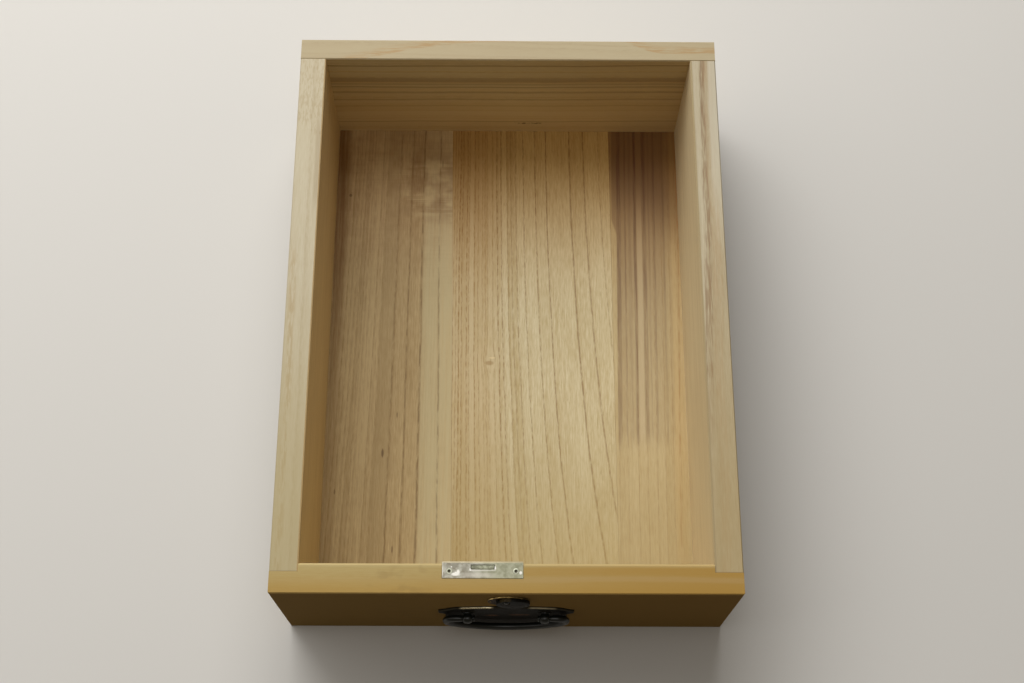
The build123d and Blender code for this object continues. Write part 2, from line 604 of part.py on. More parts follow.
def handle_post(x):
    """Eyed post: a barrel with the bail's eye, a collar, and two legs bent over inside the front."""
    end = (x - POST_EYE_HALF_WIDTH, BAIL_Y, HANDLE_Z)
    barrel = rod(end, (1, 0, 0), POST_EYE_RADIUS, 2 * POST_EYE_HALF_WIDTH)
    barrel = chamfer(barrel.edges().filter_by(GeomType.CIRCLE), POST_EYE_BEVEL)
    neck = rod((x, BAIL_Y, HANDLE_Z), (0, 1, 0), POST_NECK_RADIUS, POST_SEAT - BAIL_Y)
    collar = rod((x, POST_SEAT, HANDLE_Z), (0, -1, 0), POST_COLLAR_RADIUS, POST_COLLAR_HEIGHT)
    eye = rod(end, (1, 0, 0), BAIL_PIN_RADIUS + BAIL_PIN_CLEARANCE, 2 * POST_EYE_HALF_WIDTH)
    bent = INNER_FRONT + WASHER_THICKNESS + LEG_THICKNESS / 2
    post = barrel + neck + collar
    for hand in (-1, 1):
        start = x + hand * LEG_THICKNESS / 2
        path = FilletPolyline((start, POST_SEAT, HANDLE_Z), (start, bent, HANDLE_Z),
                              (start + hand * LEG_REACH, bent, HANDLE_Z), radius=LEG_BEND_RADIUS)
        section = Plane(origin=(start, POST_SEAT, HANDLE_Z), x_dir=(1, 0, 0), z_dir=(0, 1, 0))
        post = post + sweep(section * Rectangle(LEG_THICKNESS, LEG_WIDTH), path=path)
    return post - eye


def post_washers():
    """Washers between the bent legs and the inner face of the front board."""
    holes = post_holes(INNER_FRONT, INNER_FRONT + WASHER_THICKNESS)
    discs = [rod((x, INNER_FRONT, HANDLE_Z), (0, 1, 0), WASHER_RADIUS, WASHER_THICKNESS)
             for x in (-POST_X, POST_X)]
    return [disc - hole for disc, hole in zip(discs, holes)]


def bent_bar(centre, bend_radius, start_angle, arc_size):
    """A stretch of the bail's bar, bent in the XY plane about a centre, angles in degrees."""
    start = radians(start_angle)
    place = (centre[0] + bend_radius * cos(start), centre[1] + bend_radius * sin(start))
    across = Plane(origin=place, x_dir=(cos(start), sin(start), 0), z_dir=(-sin(start), cos(start), 0))
    return revolve(across * RegularPolygon(BAIL_RADIUS, BAIL_FLATS), Axis(centre, (0, 0, 1)), arc_size)


def bail_half():
    """Right half of the bail: a pin in the post, an arm that curls over, and half of the grip."""
    shoulder = POST_X + POST_EYE_HALF_WIDTH + BAIL_SIDE_GAP
    curl_x = BAIL_HALF_WIDTH - BAIL_CURL_RADIUS
    corner_x = BAIL_HALF_WIDTH - BAIL_CORNER_RADIUS
    sag = BAIL_DROP - BAIL_CURL_RADIUS
    grip_bend = (corner_x ** 2 + sag ** 2 - BAIL_CORNER_RADIUS ** 2) / (2 * (sag - BAIL_CORNER_RADIUS))
    grip_turn = degrees(atan2(corner_x, grip_bend - sag))
    bar = (
        bent_bar((0, grip_bend - BAIL_DROP), grip_bend, -90, grip_turn)
        + bent_bar((corner_x, -BAIL_CURL_RADIUS), BAIL_CORNER_RADIUS, grip_turn - 90, 90 - grip_turn)
        + bent_bar((curl_x, -BAIL_CURL_RADIUS), BAIL_CURL_RADIUS, 0, 90)
    )
    bar = Plane(origin=(0, BAIL_Y, HANDLE_Z), x_dir=(1, 0, 0), z_dir=(0, -1, 0)) * bar
    axis = (BAIL_Y, HANDLE_Z)
    arm = cone((shoulder, *axis), (1, 0, 0), BAIL_SHOULDER_RADIUS, BAIL_RADIUS, curl_x - shoulder)
    knob_x = POST_X - POST_EYE_HALF_WIDTH - BAIL_SIDE_GAP
    pin = rod((knob_x, *axis), (1, 0, 0), BAIL_PIN_RADIUS, shoulder - knob_x)
    knob = rod((knob_x, *axis), (-1, 0, 0), BAIL_KNOB_RADIUS, BAIL_KNOB_LENGTH)
    knob = chamfer(knob.edges().filter_by(GeomType.CIRCLE), BAIL_KNOB_BEVEL)
    return bar + arm + pin + knob


def bail_handle():
    """The whole bail, both halves fused at the middle of the grip."""
    half = bail_half()
    return half + mirror(half, about=Plane.YZ)


# ---------------------------------------------------------------- front board
def front_board(fixings, pegs):
    """Front: housings and sockets for the sides, a lap over the bottom, and the lock's mortise."""
    board = block(-HALF_WIDTH, HALF_WIDTH, FRONT_FACE, INNER_FRONT, 0, TOP)
    board = ease(board, Axis.X, (None, FRONT_FACE, TOP))
    board = ease(board, Axis.Z, (-HALF_WIDTH, FRONT_FACE, None), (HALF_WIDTH, FRONT_FACE, None))
    board = board - block(-HALF_WIDTH, HALF_WIDTH, BOTTOM_FRONT, INNER_FRONT, 0, BOTTOM_THICKNESS)
    housing = block(-HALF_WIDTH, -INNER_HALF_WIDTH, HOUSING_SHOULDER, INNER_FRONT, BOTTOM_THICKNESS, TOP)
    left_cuts = [housing] + dovetails()
    board = board - left_cuts - [mirror(cut, about=Plane.YZ) for cut in left_cuts]
    inner_arris = [e for e in board.edges().filter_by(Axis.X) if near(e, (None, INNER_FRONT, TOP))]
    board = chamfer(inner_arris, FRONT_INNER_CHAMFER)
    mortise = offset(cap_outline(), MORTISE_CLEARANCE, kind=Kind.INTERSECTION)
    board = board - facing(mortise, INNER_FRONT, CAP_DEPTH + MORTISE_CLEARANCE)
    recess = block(PLATE_LEFT - LET_IN_CLEARANCE, PLATE_RIGHT + LET_IN_CLEARANCE,
                   SELVEDGE_FRONT - LET_IN_CLEARANCE, INNER_FRONT, SELVEDGE_UNDER, TOP)
    board = board - recess
    board = board - facing(keyhole_outline(), INNER_FRONT - CAP_DEPTH, FRONT_THICKNESS - CAP_DEPTH)
    return board - post_holes(FRONT_FACE, INNER_FRONT) - fixings - pegs


def build():
    """Every node of the drawer by name."""
    bottom_row = bottom_pegs()
    corner_row = back_corner_pegs()
    rivets = cap_rivets()
    top_row = top_screws()
    back_row = back_screws()
    top_whole = [body for body, recess in top_row]
    back_whole = [body for body, recess in back_row]
    nails = escutcheon_nails()
    pivot = cover_rivet()
    left_side = side_board(bottom_row + corner_row)
    bottom_left, bottom_middle, bottom_right = bottom_boards(bottom_row)
    return {
        "front_board": front_board(top_whole + back_whole + nails + [pivot], bottom_row),
        "left_side_board": left_side,
        "right_side_board": mirror(left_side, about=Plane.YZ),
        "back_board": back_board(bottom_row + corner_row),
        "bottom_board_left": bottom_left,
        "bottom_board_middle": bottom_middle,
        "bottom_board_right": bottom_right,
        "bottom_pegs": Compound(children=bottom_row),
        "back_corner_pegs": Compound(children=corner_row),
        "lock_plate": lock_plate(top_whole + back_whole + rivets),
        "lock_cap": lock_cap(rivets),
        "cap_rivets": Compound(children=rivets),
        "lock_bolt": lock_bolt(),
        "bolt_guide_pin": bolt_guide_pin(),
        "bolt_spring": bolt_spring(),
        "key_pin": key_pin(),
        "key_ward": key_ward(),
        "lock_top_screws": Compound(children=[body - recess for body, recess in top_row]),
        "lock_back_screws": Compound(children=[body - recess for body, recess in back_row]),
        "keyhole_escutcheon": keyhole_escutcheon(nails + [pivot]),
        "escutcheon_nails": Compound(children=nails),
        "keyhole_cover": keyhole_cover(),
        "cover_rivet": pivot,
        "handle_plate": handle_plate(),
        "handle_post_left": handle_post(-POST_X),
        "handle_post_right": handle_post(POST_X),
        "post_washers": Compound(children=post_washers()),
        "bail_handle": bail_handle(),
    }


os.makedirs("parts", exist_ok=True)
for name, shape in build().items():
    export_step(shape, f"parts/{name}.step")
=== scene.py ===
"""Finish of a kiri-wood chest drawer: its boards and pegs, the lock, the keyhole cover and the bail pull.

Metres, in the drawer's own frame: X to the right, Y from front to back, Z up, origin under its middle.
The materials and the named sizes of the pieces are in millimetres, the studio is in metres.
"""
from math import atan2, cos, pi, radians, sin, tan

import bmesh
import bpy
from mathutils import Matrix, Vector, noise


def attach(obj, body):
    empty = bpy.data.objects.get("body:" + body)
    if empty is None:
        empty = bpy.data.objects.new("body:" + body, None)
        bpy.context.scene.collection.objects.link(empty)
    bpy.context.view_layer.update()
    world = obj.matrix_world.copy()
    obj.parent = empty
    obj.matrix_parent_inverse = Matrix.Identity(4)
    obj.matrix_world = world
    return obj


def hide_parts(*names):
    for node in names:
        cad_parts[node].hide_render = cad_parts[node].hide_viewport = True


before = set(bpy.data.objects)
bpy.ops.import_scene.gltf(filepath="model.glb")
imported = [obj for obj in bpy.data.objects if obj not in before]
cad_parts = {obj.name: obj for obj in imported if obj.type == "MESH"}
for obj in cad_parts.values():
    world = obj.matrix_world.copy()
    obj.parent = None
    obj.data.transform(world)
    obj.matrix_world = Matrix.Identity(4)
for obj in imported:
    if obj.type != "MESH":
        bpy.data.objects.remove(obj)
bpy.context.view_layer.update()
MM = 0.001
BOTTOM_TOP = 7.0               # upper face of the bottom
SIDE_INNER = 145.4             # where the inner faces of the sides begin, from the middle
HOUSING_Y = -207.5             # where the sides end behind the lap of the front
SCREW_PLACES = ((-39.95, -207.1), (6.55, -207.1))
COVER_PIVOT_Z = 110.0
PLATE_Y = -225.0               # outer face of the plate that the posts stand on
BAIL_Y = -229.2                # the bail's axis
BAIL_Z = 64.0
BAIL_HALF_WIDTH = 43.8
BAIL_DROP = 31.25
BAIL_CURL = 7.0
BAIL_CORNER = 13.0
BAIL_BAR = 2.6
POST_X = 28.0
EYE_HALF_WIDTH = 3.3
EYE_BORE = 1.66
# a post's neck: height over the plate and radius
NECK_PROFILE = ((0.0, 0.05), (0.0, 3.6), (0.25, 3.8), (0.65, 3.75), (0.95, 3.3), (1.4, 2.55), (2.2, 2.3),
                (2.3, 0.05))
# the bail's end, from its knob out through the eye: X and radius
KNOB_STATIONS = ((22.6, 0.8), (22.7, 1.5), (23.0, 2.15), (23.5, 2.45), (24.0, 2.4), (24.3, 2.1),
                 (24.4, 1.6), (31.5, 1.6), (31.6, 2.1), (31.9, 2.25), (33.5, 2.4))
ROUND_STEPS = 40               # faces round the bar and the posts' eyes and necks
ARRIS_ANGLE = 32.0             # degrees between faces at an edge that is rounded
CREASE_ANGLE = 38.0            # degrees from which an edge shades sharply
BROAD_FACE = 10.0              # area in square millimetres from which a face shades flat


# ------------------------ wiring of shader nodes
class Wiring:
    """Adds nodes to one material or node group and links them."""

    def __init__(self, tree):
        self.tree = tree

    def node(self, kind, inputs=None, **settings):
        """A new node; its inputs are given by name or number, as links or plain values."""
        made = self.tree.nodes.new(kind)
        for name, value in settings.items():
            setattr(made, name, value)
        for name, value in (inputs or {}).items():
            self.feed(made.inputs[name], value)
        return made

    def feed(self, socket, value):
        if isinstance(value, bpy.types.NodeSocket):
            self.tree.links.new(value, socket)
        else:
            socket.default_value = value

    def math(self, operation, *values, clamp=False):
        made = self.node("ShaderNodeMath", dict(enumerate(values)), operation=operation, use_clamp=clamp)
        return made.outputs[0]

    def times(self, first, *others):
        for other in others:
            first = self.math("MULTIPLY", first, other)
        return first

    def plus(self, a, b):
        return self.math("ADD", a, b)

    def minus(self, a, b):
        return self.math("SUBTRACT", a, b)

    def over(self, a, b):
        return self.math("DIVIDE", a, b)

    def most(self, a, b):
        return self.math("MAXIMUM", a, b)

    def scaled(self, value, factor, added):
        """value * factor + added"""
        return self.math("MULTIPLY_ADD", value, factor, added)

    def length(self, a, b):
        return self.math("SQRT", self.plus(self.times(a, a), self.times(b, b)))

    def smooth(self, value, low, high, out_low=0.0, out_high=1.0):
        """A smooth step from out_low at low to out_high at high."""
        return self.node("ShaderNodeMapRange", {
            "Value": value, "From Min": low, "From Max": high, "To Min": out_low, "To Max": out_high},
            interpolation_type="SMOOTHSTEP").outputs["Result"]

    def mix(self, factor, a, b, blend="MIX"):
        """A colour from a to b."""
        made = self.node("ShaderNodeMix", data_type="RGBA", blend_type=blend)
        for index, value in ((0, factor), (6, a), (7, b)):
            self.feed(made.inputs[index], value)
        return made.outputs[2]

    def tint(self, colour, mask, depth, toward):
        """The colour, moved toward another one by the depth where the mask is."""
        return self.mix(self.times(mask, depth), colour, toward)

    def shade(self, colour, mask, by):
        """The colour, multiplied by another one where the mask is."""
        return self.mix(mask, colour, self.mix(1.0, colour, by, "MULTIPLY"))

    def cloud(self, vector, scale, detail=2.0, roughness=0.5, shift=0.0):
        """Noise from 0 to 1 about 0.5, of a stretched and shifted vector."""
        moved = self.node("ShaderNodeVectorMath", operation="MULTIPLY_ADD")
        for index, value in enumerate((vector, scale, (shift, shift * 0.7, shift * 1.3))):
            self.feed(moved.inputs[index], value)
        return self.node("ShaderNodeTexNoise", {"Vector": moved.outputs[0], "Scale": 1.0, "Detail": detail,
                                                "Roughness": roughness}).outputs["Fac"]

    def specks(self, vector, scale, low, high, out_low=0.0, out_high=1.0, **noise_inputs):
        """A smooth step over that noise."""
        return self.smooth(self.cloud(vector, scale, **noise_inputs), low, high, out_low, out_high)

    def parts(self, vector):
        """The X, Y and Z of a vector."""
        return self.node("ShaderNodeSeparateXYZ", {0: vector}).outputs

    def joined(self, x, y, z):
        """A vector from its X, Y and Z."""
        return self.node("ShaderNodeCombineXYZ", {"X": x, "Y": y, "Z": z}).outputs[0]

    def group(self, name, inputs):
        """The outputs of a node group placed with its own values."""
        return self.node("ShaderNodeGroup", inputs, node_tree=bpy.data.node_groups[name]).outputs


def new_group(name, inputs, outputs):
    """An empty node group, its wiring, its inputs by name and its output node."""
    tree = bpy.data.node_groups.new(name, "ShaderNodeTree")
    for label, kind, value in inputs:
        socket = tree.interface.new_socket(label, in_out="INPUT", socket_type="NodeSocket" + kind)
        if value is not None:
            socket.default_value = value
    for label, kind in outputs:
        tree.interface.new_socket(label, in_out="OUTPUT", socket_type="NodeSocket" + kind)
    w = Wiring(tree)
    given = w.node("NodeGroupInput").outputs
    result = w.node("NodeGroupOutput")
    return w, given, result


def rgb(red, green, blue):
    """A colour given in display values from 0 to 255, as the shader's linear values."""
    def linear(value):
        value /= 255
        return value / 12.92 if value <= 0.04045 else ((value + 0.055) / 1.055) ** 2.4
    return (linear(red), linear(green), linear(blue), 1.0)


# ------------------------ effects that several finishes share
def make_kiri_grain():
    """Planed kiri between its ring lines: bands of tint, rows of open pores along each line, fibres, clouds.

    The board point is in millimetres: X across the board, Y along the fibres, Z into its thickness. Ring
    Count rises by one at each ring line and Ring Spacing is the distance in millimetres between the lines.
    """
    w, given, result = new_group("kiri_grain", [
        ("Board Point", "Vector", None), ("Ring Count", "Float", 0.0), ("Ring Spacing", "Float", 5.0),
        ("Line Width", "Float", 1.0), ("Line Strength", "Float", 0.6), ("Dash Length", "Float", 6.0),
        ("Band Contrast", "Float", 0.5), ("Fibre", "Float", 0.8), ("Clouds", "Float", 0.9),
        ("Seed", "Float", 0.0), ("Pale", "Color", rgb(200, 180, 145)), ("Deep", "Color", rgb(170, 145, 105)),
        ("Line", "Color", rgb(110, 78, 45))],
        [("Color", "Color"), ("Roughness", "Float"), ("Height", "Float")])
    point = given["Board Point"]
    across, along, deep = w.parts(point)
    ring = w.math("FLOOR", given["Ring Count"])
    phase = w.math("FRACT", given["Ring Count"])
    chance = w.node("ShaderNodeTexWhiteNoise", {"W": w.plus(ring, given["Seed"])},
                    noise_dimensions="1D").outputs
    luck, kinds = chance["Value"], w.parts(chance["Color"])
    behind = w.times(phase, given["Ring Spacing"])
    before = w.times(w.minus(1.0, phase), given["Ring Spacing"])
    width = w.times(given["Line Width"], w.scaled(kinds["Z"], 0.8, 0.6))
    fading = w.smooth(w.over(behind, width), 0.1, 1.0, 1.0, 0.0)
    rising = w.smooth(w.over(before, width), 0.05, 0.55, 1.0, 0.0)
    profile = w.most(fading, rising)
    strength = w.scaled(w.math("POWER", luck, 1.5), 0.7, 0.3)
    dash_point = w.joined(w.scaled(across, 0.75, w.times(luck, 50.0)), w.over(along, given["Dash Length"]),
                          w.times(deep, 0.75))
    dashes = w.smooth(w.cloud(dash_point, (1.0, 1.0, 1.0), detail=1.5), 0.38, 0.62)
    lines = w.times(profile, strength, w.scaled(dashes, 0.75, 0.25))
    fibre = w.minus(w.cloud(point, (0.95, 0.03, 0.95), detail=3.0, roughness=0.7), 0.5)
    short = w.minus(w.cloud(point, (1.1, 0.11, 1.1), detail=2.0, shift=11.0), 0.5)
    pores = w.specks(point, (1.3, 0.17, 1.3), 0.64, 0.74, detail=1.0, shift=31.0)
    clouds = w.minus(w.cloud(point, (0.03, 0.009, 0.03), detail=3.0, shift=5.0), 0.5)
    band = w.minus(kinds["Y"], 0.5)
    tone = w.scaled(band, given["Band Contrast"], 0.45)
    tone = w.scaled(clouds, given["Clouds"], tone)
    tone = w.scaled(fibre, given["Fibre"], tone)
    tone = w.scaled(short, w.times(given["Fibre"], 0.9), tone)
    tone = w.math("MULTIPLY_ADD", phase, w.times(given["Band Contrast"], -0.35), tone, clamp=True)
    wood = w.mix(tone, given["Pale"], given["Deep"])
    dark = w.times(lines, given["Line Strength"])
    dark = w.math("MULTIPLY_ADD", pores, w.times(given["Line Strength"], 0.2), dark, clamp=True)
    w.feed(result.inputs["Color"], w.mix(dark, wood, given["Line"]))
    w.feed(result.inputs["Roughness"], w.scaled(dark, 0.2, 0.56))
    w.feed(result.inputs["Height"], w.scaled(fibre, 0.5, w.times(dark, -1.0)))


def make_soft_stripe():
    """1 over a stripe along one coordinate, falling to 0 over a soft edge on both sides, in millimetres."""
    w, given, result = new_group("soft_stripe", [("Coordinate", "Float", 0.0), ("Middle", "Float", 0.0),
                                                 ("Half Width", "Float", 0.5), ("Soft Edge", "Float", 0.5)],
                                 [("Mask", "Float")])
    off = w.math("ABSOLUTE", w.minus(given["Coordinate"], given["Middle"]))
    past = w.minus(off, given["Half Width"])
    w.feed(result.inputs["Mask"], w.smooth(w.over(past, given["Soft Edge"]), 0.0, 1.0, 1.0, 0.0))


def make_metal_wear():
    """Clouds, small pits and long scratches on a handled metal surface, from a point in millimetres."""
    w, given, result = new_group("metal_wear", [("Point", "Vector", None), ("Cloud Size", "Float", 6.0),
                                                ("Pit Size", "Float", 0.7)],
                                 [("Clouds", "Float"), ("Pits", "Float"), ("Scratches", "Float")])
    point = given["Point"]
    cloud_rate = w.over(1.0, given["Cloud Size"])
    pit_rate = w.over(1.0, given["Pit Size"])
    clouds = w.node("ShaderNodeTexNoise", {"Vector": point, "Scale": cloud_rate, "Detail": 4.0,
                                           "Roughness": 0.6})
    pits = w.node("ShaderNodeTexVoronoi", {"Vector": point, "Scale": pit_rate, "Randomness": 1.0})
    streaks = w.cloud(point, (0.08, 2.6, 2.6), detail=3.0, roughness=0.7, shift=3.0)
    w.feed(result.inputs["Clouds"], clouds.outputs["Fac"])
    w.feed(result.inputs["Pits"], w.smooth(pits.outputs["Distance"], 0.0, 0.45, 1.0, 0.0))
    w.feed(result.inputs["Scratches"], w.smooth(streaks, 0.56, 0.7))


# ------------------------ wood finishes
def new_material(name):
    """The wiring of a new material, which also holds the material and its shader."""
    material = bpy.data.materials.new(name)
    material.use_nodes = True
    w = Wiring(material.node_tree)
    w.material, w.shader = material, material.node_tree.nodes["Principled BSDF"]
    return w


def new_finish(name):
    """A new material's wiring, and the point on the drawer in millimetres, whole and as X, Y and Z."""
    w = new_material(name)
    place = w.node("ShaderNodeTexCoord").outputs["Object"]
    point = w.node("ShaderNodeVectorMath", {0: place, 1: (1 / MM,) * 3}, operation="MULTIPLY").outputs[0]
    return w, point, *w.parts(point)


def stripe(w, coordinate, middle, half, edge):
    return w.group("soft_stripe", {"Coordinate": coordinate, "Middle": middle, "Half Width": half,
                                   "Soft Edge": edge})["Mask"]


def curve_through(w, value, points):
    """Straight runs through (input, output) points, in their own units."""
    low, high = points[0][0], points[-1][0]
    bottom = min((y for _, y in points))
    top = max((y for _, y in points))
    made = w.node("ShaderNodeFloatCurve")
    w.feed(made.inputs["Value"], w.over(w.minus(value, low), high - low))
    curve = made.mapping.curves[0]
    spots = [((x - low) / (high - low), (y - bottom) / (top - bottom)) for x, y in points]
    for spot, place in zip(curve.points, (spots[0], spots[-1])):
        spot.location = place
    for place in spots[1:-1]:
        curve.points.new(*place)
    for spot in curve.points:
        spot.handle_type = "VECTOR"
    made.mapping.update()
    return w.scaled(made.outputs["Value"], top - bottom, bottom)


def rings_at(w, across, lines):
    """Ring count and spacing of a board whose ring lines lie at the places given, in millimetres."""
    first, last = lines[1] - lines[0], lines[-1] - lines[-2]
    places = [lines[0] - first] + list(lines) + [lines[-1] + last]
    points = [(place, float(number)) for number, place in enumerate(places)]
    count = curve_through(w, across, points)
    ahead = curve_through(w, w.plus(across, 0.4), points)
    back = curve_through(w, w.minus(across, 0.4), points)
    rise = w.most(w.minus(ahead, back), 0.02)
    return count, w.over(0.8, rise)


def rings_about(w, across, deep, pith_across, pith_deep, width, uneven=1.0):
    """Ring count and spacing of a board cut from a stem with its pith at a place off the board."""
    off_side = w.minus(across, pith_across)
    off_deep = w.minus(deep, pith_deep)
    radius = w.length(off_side, off_deep)
    count = w.over(radius, width)
    seasons = w.node("ShaderNodeTexNoise", {"W": w.times(count, 0.37), "Scale": 1.0, "Detail": 1.0},
                     noise_dimensions="1D").outputs["Fac"]
    return w.scaled(w.minus(seasons, 0.5), 4.0 * uneven, count), width


def wandering(w, across, point, amount, shift=0.0):
    """The place across the board, moved a little so that the lines wander along the fibres."""
    broad = w.minus(w.cloud(point, (0.015, 0.006, 0.015), shift=shift), 0.5)
    small = w.minus(w.cloud(point, (0.06, 0.03, 0.06), shift=shift + 9.0), 0.5)
    moved = w.scaled(broad, 3.0 * amount, across)
    return w.scaled(small, 1.1 * amount, moved)


def finish_wood(w, grain, colour, roughness=None, gloss=0.3):
    """Gives the board its colour, gloss and relief and hands back its material."""
    w.feed(w.shader.inputs["Base Color"], colour)
    w.feed(w.shader.inputs["Roughness"], roughness or grain["Roughness"])
    w.shader.inputs["Specular IOR Level"].default_value = gloss
    relief = w.node("ShaderNodeBump", {"Strength": 0.3, "Distance": 0.2 * MM, "Height": grain["Height"]})
    w.feed(w.shader.inputs["Normal"], relief.outputs[0])
    return w.material


def kiri_grain(w, point, rings, seed, pale, deep, line, **others):
    """One board's grain and its colour, from its rings, three colours and the group's other inputs."""
    inputs = {"Board Point": point, "Ring Count": rings[0], "Ring Spacing": rings[1], "Seed": seed,
              "Pale": pale, "Deep": deep, "Line": line}
    inputs.update((name.replace("_", " ").title(), value) for name, value in others.items())
    grain = w.group("kiri_grain", inputs)
    return grain, grain["Color"]


def upper_face(w, z):
    """1 on the upper face of the bottom, 0 on its edges and below."""
    return w.smooth(z, BOTTOM_TOP - 1.4, BOTTOM_TOP - 0.2)


def back_shade(w, colour, y, depth):
    """Painted shade: the bottom turns browner toward the back, for the back wall's shadow and warm light
    bounced inside.
    """
    return w.shade(colour, w.smooth(y, 20.0, 205.0, 0.0, depth), rgb(228, 193, 132))


def glue_line(w, colour, x, place):
    return w.tint(colour, stripe(w, x, place, 0.15, 0.5), 0.3, rgb(110, 80, 44))


def dark_lines(w, colour, across, pores, edge, tone, lines):
    """Broken dark lines along the fibres, each by its middle, half width and depth."""
    for middle, half, depth in lines:
        colour = w.tint(colour, w.times(stripe(w, across, middle, half, edge), pores), depth, tone)
    return colour


def pit_mark(w, x, y, spot_x, spot_y, wide, long):
    """A small spindle-shaped mark along the fibres."""
    off_x, off_y = w.over(w.minus(x, spot_x), wide), w.over(w.minus(y, spot_y), long)
    return w.smooth(w.length(off_x, off_y), 0.4, 1.0, 1.0, 0.0)


def side_ends(w, colour, point, inner, shift, thread):
    """Long fine threads on the inner face of a side, and the joint line at its front end."""
    threads = w.cloud(point, (0.9, 0.012, 0.9), detail=3.0, roughness=0.7, shift=shift)
    colour = w.tint(colour, w.times(w.smooth(threads, 0.4, 0.68), inner), 0.35, thread)
    return w.tint(colour, stripe(w, w.parts(point)["Y"], HOUSING_Y, 0.1, 0.5), 0.5, rgb(96, 70, 38))


def bottom_left_wood():
    """The left bottom board: narrow rings by the wall, wide ones beyond, a pale strip at the glue line."""
    w, point, x, y, z = new_finish("kiri_bottom_left")
    from_middle = w.plus(y, 84.0)
    fan = w.times(w.plus(x, 71.0), from_middle, 0.0006)
    across = wandering(w, w.plus(x, fan), point, 0.8)
    rings = rings_at(w, across, (-142, -138, -134, -130.5, -127, -123.5, -120.5, -117.5, -112, -106.7,
                                 -94.4, -82.5, -70.8, -54.8, -40))
    grain, colour = kiri_grain(
        w, point, rings, 4.0, rgb(204, 178, 132), rgb(172, 144, 98), rgb(126, 92, 48),
        line_width=1.8, line_strength=0.4, band_contrast=0.5, fibre=1.3)
    olive = stripe(w, across, -100.5, 4.6, 2.0)
    colour = w.tint(colour, olive, 0.3, rgb(148, 120, 72))
    streaks = w.cloud(point, (0.5, 0.012, 0.5), detail=3.0, shift=81.0)
    pale = w.times(w.smooth(across, -73.5, -66.0), w.smooth(y, 205.0, 100.0, 0.25, 0.72))
    pale = w.times(pale, w.smooth(streaks, 0.35, 0.6, 0.55, 1.0))
    colour = w.mix(pale, colour, rgb(204, 188, 148))
    dashes = w.specks(point, (0.5, 0.1, 0.5), 0.36, 0.6, 0.15, 1.0, shift=61.0)
    colour = dark_lines(w, colour, across, dashes, 1.1, rgb(112, 82, 42), (
        (-71.0, 0.3, 0.55), (-94.6, 0.2, 0.35), (-82.5, 0.2, 0.4), (-55.2, 0.2, 0.45)))
    shimmer = w.times(stripe(w, x, -62.0, 16.0, 20.0), stripe(w, y, 152.0, 20.0, 26.0))
    shimmer = w.most(shimmer, w.times(w.smooth(y, 0.0, 180.0), 0.28))
    waves = w.cloud(point, (0.055, 0.075, 0.055), detail=2.0, shift=17.0)
    ripple = w.times(shimmer, 0.42)
    colour = w.mix(w.times(w.smooth(waves, 0.44, 0.7), ripple), colour, rgb(134, 96, 50))
    colour = w.mix(w.times(w.smooth(waves, 0.52, 0.32), ripple), colour, rgb(218, 198, 152))
    bars = w.specks(point, (0.02, 0.6, 0.02), 0.4, 0.66, detail=1.0, shift=71.0)
    bars = w.times(bars, w.specks(point, (0.05, 0.07, 0.05), 0.4, 0.58, 0.1, 1.0, shift=77.0))
    colour = w.mix(w.times(bars, w.times(shimmer, 0.34)), colour, rgb(146, 110, 62))
    corner = w.smooth(w.plus(x, w.times(w.cloud(point, (0.0, 0.05, 0.0)), 3.0)), -138.0, -130.5, 1.0, 0.0)
    corner = w.times(corner, w.specks(point, (0.6, 0.02, 0.6), 0.35, 0.6, 0.7, 1.0, shift=25.0))
    inside = upper_face(w, z)
    inside_back = w.times(inside, w.smooth(y, -100.0, 110.0, 0.3, 0.75))
    colour = w.mix(w.times(corner, inside_back), colour, rgb(124, 83, 22))
    colour = back_shade(w, colour, w.times(y, inside), 0.36)
    colour = w.shade(colour, w.smooth(y, 150.0, 60.0), rgb(238, 239, 234))
    for spot_x, spot_y, wide, long, depth in (
            (-98.7, -87, 1.3, 5, 0.7), (-88, -55, 0.8, 3.5, 0.5), (-135.5, -119, 1.0, 3, 0.5),
            (-88.7, -165, 1.0, 4, 0.5), (-133.4, 142, 1.7, 2, 0.6), (-55.4, 173, 0.7, 6, 0.4)):
        colour = w.tint(colour, pit_mark(w, x, y, spot_x, spot_y, wide, long), depth, rgb(84, 54, 26))
    return finish_wood(w, grain, colour)


